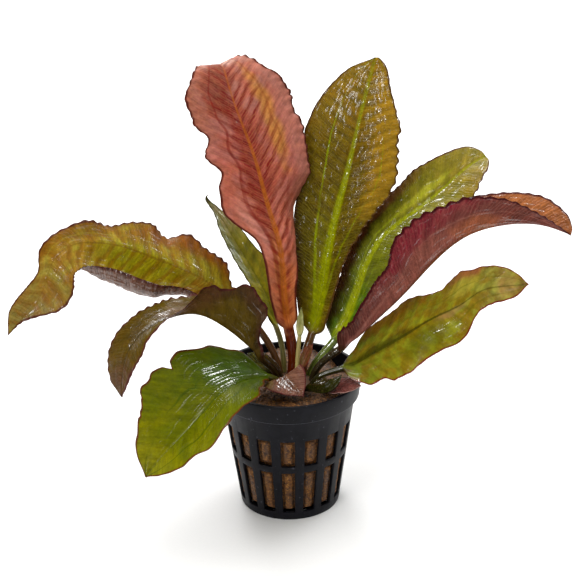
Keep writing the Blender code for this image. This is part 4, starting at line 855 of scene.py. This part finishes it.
def halfBlade(leaf, side, arc, length, blade, across):
    # one half from the midrib (0) to the margin (1). Its outline is the width with scallops, slow
    # wandering and nicks, rounded in at the tip and the foot. The section starts at the fold angle
    # and turns by the curl, and the cosine and sine of its angle are summed with Gauss's rule. The
    # margin's waves are added at right angles to it
    form = leafForm
    seed = 1 + (side == "Right") + len(leaf["name"])
    tip = np.clip((arc - length + form["tipLength"]) / form["tipLength"], 0, 1)
    reach = min(form["shoulderLength"], form["shoulderShare"] * (length - leaf["stalk"]))
    shoulder = np.clip((arc - leaf["stalk"]) / reach, 0, 1)
    fade = np.clip(blade / form["fadeIn"], 0, 1) * np.clip((1 - blade) / form["fadeOut"], 0, 1)
    brief = np.clip(blade / form["brief"], 0, 1) * np.clip((1 - blade) / form["brief"], 0, 1)
    frill = evenSteps(leaf["frill" + side], blade)
    lobes = np.sqrt(np.abs(ripple(arc, 2 * leaf["lobe"][1], seed, seed))) - 0.7
    lobes = lobes * (0.65 + 0.35 * np.sin(arc / (0.7 * leaf["lobe"][1]) + seed))
    outline = leaf["bump"][0] * ripple(arc, leaf["bump"][1], seed, 2 * seed) * fade
    outline = (outline + leaf["lobe"][0] * lobes * brief) * frill
    width = (evenSteps(leaf[side.lower()], blade) + outline) * np.sqrt(1 - tip ** 2)
    width = width * np.sqrt(1 - (1 - shoulder) ** 2)
    for where, deep, wide in leaf["nicks" + side]:
        width = width - deep * np.clip(1 - np.abs(blade - where) / wide, 0, 1)
    width = np.maximum(width, leaf["stem"] * (1 - blade))
    fold = (np.radians(evenSteps(leaf["fold" + side], blade)) * shoulder)[:, None]
    curl = (np.radians(evenSteps(leaf["curl" + side], blade)) * shoulder)[:, None]
    nodes, weights = np.polynomial.legendre.leggauss(6)
    out = 0
    rise = 0
    for place, share in zip((nodes + 1) / 2, weights / 2):
        angle = fold + curl * (across * place) ** leaf["bend"]
        out = out + share * np.cos(angle) * across * width[:, None]
        rise = rise + share * np.sin(angle) * across * width[:, None]
    angle = fold + curl * across ** leaf["bend"]
    wave = evenSteps(leaf["wave" + side], blade)
    crimp = leaf["crimp"][0] * ripple(arc, leaf["crimp"][1], 2 * seed, 3 * seed) * brief * frill
    lift = wave[:, None] * across ** 2.5 + crimp[:, None] * across ** 9
    return out - lift * np.sin(angle), rise + lift * np.cos(angle), angle, width


def leafSurface(leaf):
    # rings carried along the midrib: the upper skin from the right margin to the left, and the lower
    # skin back. Round on the stalk, flat with thin margins on the blade, a groove above the midrib
    # and a rib below it, and quilting between the side veins. It gives the leaf's length, the rings,
    # and where each point lies on the leaf, for the colours
    form = leafForm
    curve, along = splineThrough(leaf["path"])
    length = along[-1]
    arc = np.linspace(0, length, int(length / form["rowStep"]) + 1)[:-1]
    spine = np.stack([np.interp(arc, along, curve[:, k]) for k in range(3)], 1)
    tangent = np.gradient(spine, axis=0)
    tangent /= np.linalg.norm(tangent, axis=1)[:, None]
    heading = np.radians(evenSteps(leaf["heading"], arc / length))
    level = np.stack([-np.sin(heading), np.cos(heading), 0 * heading], 1)
    flat = level - (level * tangent).sum(1)[:, None] * tangent
    flat /= np.linalg.norm(flat, axis=1)[:, None]
    steep = np.cross(tangent, flat)
    twist = np.radians(evenSteps(leaf["twist"], arc / length))[:, None]
    left = (flat * np.cos(twist) + steep * np.sin(twist))[:, None]
    upper = (steep * np.cos(twist) - flat * np.sin(twist))[:, None]

    half = form["columns"] // 2
    across = np.sin(np.linspace(0, np.pi / 2, half + 1))[None, :]
    stalkShare = ((arc - leaf["stalk"]) / (length - leaf["stalk"]))[:, None]
    blade = np.clip(stalkShare, 0, 1)
    out, rise, angle, width = halfBlade(leaf, "Left", arc, length, blade[:, 0], across)
    mirror = halfBlade(leaf, "Right", arc, length, blade[:, 0], across)
    flip = slice(None, 0, -1)
    out = np.c_[-mirror[0][:, flip], out][..., None]
    rise = np.c_[mirror[1][:, flip], rise][..., None]
    angle = np.c_[-mirror[2][:, flip], angle][..., None]
    width = np.c_[np.repeat(mirror[3][:, None], half, 1), np.repeat(width[:, None], half + 1, 1)]
    share = np.c_[-across[:, flip], across] + 0 * width
    middle = spine[:, None] + out * left + rise * upper
    normal = np.cos(angle) * upper - np.sin(angle) * left

    # places on the blade: off the midrib, off the margin and off the side vein, in widths of each,
    # and along the veins, which lean towards the tip, in spacings
    swell = np.clip((arc - leaf["stalk"]) / form["swellLength"], 0, 1)[:, None]
    offRib = np.abs(share) * width
    offMargin = (1 - np.abs(share)) * width
    isLeft = share > 0
    sideVein = np.where(isLeft, leaf["side"][3], leaf["side"][4]) * width * (1 - np.exp(-5 * blade))
    most, least = form["sideVein"]
    offSide = np.abs(offRib - sideVein) / ((most * (1 - blade) ** 0.7 + least) * leaf["side"][5])
    strength, size = form["wander"]
    wander = strength * valueNoise(middle, size, 3)
    lean = np.where(isLeft, leaf["fine"][3], leaf["fine"][4])
    fineVein = (arc[:, None] - lean * offRib + 0.5 * wander) / leaf["fine"][2]
    broadVein = arc[:, None] - leaf["bands"][3] * offRib + 2 * wander + 0.3 * isLeft
    broadVein = broadVein / leaf["bands"][2]
    ribHalf = np.maximum(leaf["stem"] * (1 - blade) * form["ribShare"], form["ribLeast"])

    quilt = np.sin(np.pi * np.clip(np.abs(share), 0, 1)) * np.sin(2 * np.pi * broadVein)
    quilt = quilt * np.clip((1 - blade) * 6, 0, 1)
    strength, size = form["lumps"]
    quilt = quilt + strength * valueNoise(middle, size, 7) * np.sqrt(1 - share ** 2)
    relief = leaf["pucker"] * swell * quilt
    ribShape = np.exp(-(offRib / (1.3 * ribHalf)) ** 2)
    sideShape = np.exp(-offSide ** 2)
    groove = form["groove"] * np.exp(-(offRib / ribHalf) ** 2) + form["sideGroove"] * sideShape
    rib = form["ribDepth"] * ribShape * (1 - blade) + form["sideDepth"] * sideShape
    thickness = form["tipThickness"] + (form["bladeThickness"] - form["tipThickness"]) * (1 - blade)
    thin = np.sqrt(np.maximum(1 - share ** 8, 0))
    onStalk = form["stalkDepth"] * leaf["stem"] * np.sqrt(np.maximum(1 - share ** 2, 0))
    above = onStalk * (1 - swell) + (thickness / 2 + relief - groove) * thin * swell
    below = onStalk * (1 - swell) + (thickness / 2 + rib - relief) * thin * swell

    def around(top, bottom):
        # over the upper side and back under the lower one, without the margins twice
        return np.concatenate([top, bottom[:, -2:0:-1]], 1)[:, ::-1]

    rings = around(middle + normal * above[..., None], middle - normal * below[..., None])
    # the last number tells the sides apart: 0 above, 1 below and half on the margins
    place = [np.stack([share, stalkShare + 0 * share, np.where(np.abs(share) == 1, 0.5, under)], -1)
             for under in (0, 1)]
    ribs = np.stack([offRib / ribHalf, offMargin, offSide], -1)
    veins = np.stack([fineVein, broadVein, offRib * np.sign(share)], -1)
    return length, rings, [around(*place), around(ribs, ribs), around(veins, veins)]


def leafTissue(leaf, length):
    # living leaf tissue under a thin waxy skin: colour runs from stalk to tip and lies in soft zones,
    # veins stand out, and a film of water lies in streaks, so the shine breaks up along the veins
    skin = leafSkin
    material, tree = newMaterial(leaf["name"] + "Tissue", IOR=skin["ior"],
                                 Specular_IOR_Level=skin["specularLevel"],
                                 Coat_Roughness=skin["filmRoughness"], Coat_IOR=skin["filmIor"])
    put = partial(add, tree)
    place, ribs, veins = (put("Attribute", out=1, attribute_name=name)
                          for name in ("place", "ribs", "veins"))
    share, along, facing = put("SeparateXYZ", (place,), out=slice(3))
    offRib, offMargin, offSide = put("SeparateXYZ", (ribs,), out=slice(3))
    finePhase, broadPhase, fromRib = put("SeparateXYZ", (veins,), out=slice(3))
    onBlade = put("MapRange", (along, 0, 0.05))

    def overlap(first, *others):
        # where masks lie over one another
        for other in others:
            first = put("Math", (first, other), operation="MULTIPLY")
        return first

    def mask(value, near, far, most=1):
        # on the blade alone: most where the value is below near, fading to nothing at far
        fade = put("MapRange", (value, near, far, most, 0), interpolation_type="SMOOTHSTEP")
        return overlap(fade, onBlade)

    def zone(across, upward, wide, long):
        # a soft ragged oval on the blade
        shift = put("Mapping", {0: place, 1: (-across / wide, -upward / long, 0),
                                3: (1 / wide, 1 / long, 0)})
        away = put("VectorMath", (shift,), out=1, operation="LENGTH")
        return mask(put("Math", (mottle, 1.1, away), operation="MULTIPLY_ADD"), 0.95, 1.75)

    # noises in space: blotches, specks, clearings among the fine veins, and dimples
    spot = put("TexCoord", out="Object")
    sizes = ((leaf["blotch"][2], 5), (skin["speckSize"], 3), (skin["clearSize"], 3),
             (skin["dimpleSize"], 2))
    mottle, speck, clearing, dimple = (
        put("TexNoise", {"Vector": spot, "Scale": 1 / (size * mm), "Detail": detail})
        for size, detail in sizes)
    # noises stretched along the side veins or along the leaf, different on its two sides: brush
    # strokes, the fine veins' wandering, the stalk's stripes and the film of water
    lines = put("CombineXYZ", (finePhase, fromRib, facing))
    lanes = put("CombineXYZ", (along, share, facing))
    long, wide = leaf["streak"]
    stretches = ((lines, skin["strokes"], 4), (lines, skin["wander"], 3),
                 (lanes, (length / skin["stripe"][0], 1 / skin["stripe"][1]), 3),
                 (lanes, (length / long, max(leaf["left"]) / wide), 3))
    brush, drift, stripe, film = (
        put("TexNoise", {"Vector": put("Mapping", {0: base, 3: (*stretch, 1)}), "Scale": 1,
                         "Detail": detail})
        for base, stretch, detail in stretches)

    # finest veins: a sine wave whose phase wanders, joined across by the edges of a Voronoi pattern
    netting = put("Mapping", {0: lines, 3: (1, skin["netShape"] / leaf["fine"][2], 1)})
    net = put("TexVoronoi", {"Vector": netting, "Scale": 1, "Randomness": skin["netLooseness"]},
              feature="DISTANCE_TO_EDGE")
    drift = put("Math", (drift, 14), operation="MULTIPLY")
    phase = put("Math", (finePhase, 2 * np.pi, drift), operation="MULTIPLY_ADD")
    line = put("MapRange", (put("Math", (phase,), operation="SINE"), 0, 1))
    clear = put("MapRange", (clearing, 0.35, 0.65, 0.2, 1))
    fine = put("Math", (overlap(line, clear, onBlade), mask(net, 0, 0.1, 0.6)), operation="MAXIMUM")

    # broad bands between the side veins, near the midrib alone
    drift = put("Math", (mottle, 6), operation="MULTIPLY")
    phase = put("Math", (broadPhase, 2 * np.pi, drift), operation="MULTIPLY_ADD")
    wave = put("Math", (phase,), operation="SINE")
    band = put("MapRange", (put("Math", (brush, 4, wave), operation="MULTIPLY_ADD"), 1.7, 3.1))
    reach = leaf["bands"][4]
    fromMiddle = put("Math", (share,), operation="ABSOLUTE")
    broad = overlap(band, mask(fromMiddle, 0.4 * reach, 1.3 * reach))

    # a ragged edge and rim, and the side veins
    ragged = put("Math", (speck, 1.2, offMargin), operation="MULTIPLY_ADD")
    ragged = put("Math", (mottle, leaf["edge"][1] * 1.5, ragged), operation="MULTIPLY_ADD")
    edge = mask(ragged, leaf["edge"][1] * 0.6, leaf["edge"][1] * 2)
    ragged = put("Math", (mottle, leaf["rim"][1], offMargin), operation="MULTIPLY_ADD")
    rim = (mask(ragged, leaf["rim"][1] * 1.1, leaf["rim"][1] * 1.9), 0.95, leaf["rim"][0])
    isLeft = put("Math", (share, 0), operation="GREATER_THAN")
    sideStrength = put("Mix", {0: isLeft, 2: leaf["side"][2], 3: leaf["side"][1]})
    sideLine = overlap(mask(offSide, 0.35, 1.3), sideStrength)

    # the midrib: strands that fade towards the tip
    ragged = put("Math", (speck, 0.5, offRib), operation="MULTIPLY_ADD")
    strand = put("Math", (put("Math", (offRib, 2.9), operation="MULTIPLY"),), operation="SINE")
    strand = put("MapRange", (put("Math", (strand,), operation="ABSOLUTE"), 0, 0.5, 0.55, 1))
    fading = put("MapRange", (along, 0.5, 1, 1, 0.4))
    ribLine = overlap(mask(ragged, 0.7 * leaf["rib"][2], 1.9 * leaf["rib"][2]), strand, fading)

    ramp = put("ValToRGB", (put("Math", (mottle, 0.2, along), operation="MULTIPLY_ADD"),))
    stops = ramp.node.color_ramp.elements
    stops[0].position = skin["ramp"][0]
    stops[0].color = linear(leaf["stalkColour"])
    stops[1].position = 1
    stops[1].color = linear(leaf["blade"][-1])
    for where, code in zip(skin["ramp"][1:], leaf["blade"]):
        stops.new(where).color = linear(code)
    front = paint(tree, ramp, (
        (mask(mottle, 0.4, 0.62), leaf["blotch"][1], leaf["blotch"][0]),
        (edge, leaf["edge"][2], leaf["edge"][0]),
        *((zone(*oval), strength, code) for *oval, code, strength in leaf["zones"]),
        (broad, leaf["bands"][1], leaf["bands"][0]), (fine, leaf["fine"][1], leaf["fine"][0]),
        (sideLine, 1, leaf["side"][0]), (ribLine, leaf["rib"][1], leaf["rib"][0]), rim))
    ground, veinColour, veinStrength = leaf["under"]
    back = paint(tree, leaf["stalkColour"], (
        (onBlade, 1, ground),
        *((zone(*oval), strength, code) for *oval, code, strength in leaf["backZones"]),
        (broad, 0.6 * leaf["bands"][1], leaf["bands"][0]), (fine, veinStrength, veinColour),
        (sideLine, 0.6, veinColour), (ribLine, 0.5 * leaf["rib"][1], veinColour), rim))
    both = put("Mix", {0: facing, 6: front, 7: back}, out=2, data_type="RGBA")

    # light and dark strokes over everything: along the side veins on the blade, lengthwise on the stalk
    striped = put("Math", (stripe, 0.5), operation="SUBTRACT")
    striped = put("Math", (striped, leaf["stripes"], 0.5), operation="MULTIPLY_ADD")
    stroked = put("Math", (brush, 0.65), operation="MULTIPLY")
    stroked = put("Math", (speck, 0.35, stroked), operation="MULTIPLY_ADD")
    tone = put("Mix", {0: onBlade, 2: striped, 3: stroked})
    fleck = put("MapRange", (tone, 0.3, 0.7, skin["darkest"], skin["lightest"]))
    colour = put("HueSaturation", {"Color": both, "Value": fleck, "Saturation": skin["saturation"]})

    # the film of water: streaks along the leaf, most of them in the wet zones and on the stalk
    dry = put("Math", (1, onBlade), operation="SUBTRACT")
    soaked = put("Math", (dry, 0.7, leaf["wet"]), operation="MULTIPLY_ADD")
    for *oval, strength in leaf["wetZones"]:
        soaked = put("Math", (zone(*oval), strength, soaked), operation="MULTIPLY_ADD")
    film = put("Math", (soaked, 0.2, film), operation="MULTIPLY_ADD")
    water = put("MapRange", (film, *skin["filmEdge"], skin["filmLeast"], 1))
    rough = put("MapRange", (film, 0.3, 0.6, leaf["gloss"] + 0.15, leaf["gloss"]))
    height = put("Math", (speck, 0.3), operation="MULTIPLY")
    for pattern, deep in ((fine, -0.7), (brush, 0.9), (dimple, 1.3)):
        height = put("Math", (pattern, deep * leaf["emboss"], height), operation="MULTIPLY_ADD")
    bump = put("Bump", {"Height": height, "Strength": 1, "Distance": skin["relief"] * mm})
    return finish(material, {"Base Color": colour, "Roughness": rough, "Normal": bump,
                             "Coat Weight": water, "Coat Normal": bump})


for own in leaves:
    leaf = {**plainLeaf, **own}
    length, rings, layers = leafSurface(leaf)
    points, faces = closeRings(np.concatenate([rings, *layers], -1))
    values = dict(place=points[:, 3:6], ribs=points[:, 6:9], veins=points[:, 9:])
    makePiece(leaf["name"], points[:, :3], faces, leafTissue(leaf, length), leaf["node"], values)
    print(leaf["name"], "ready")
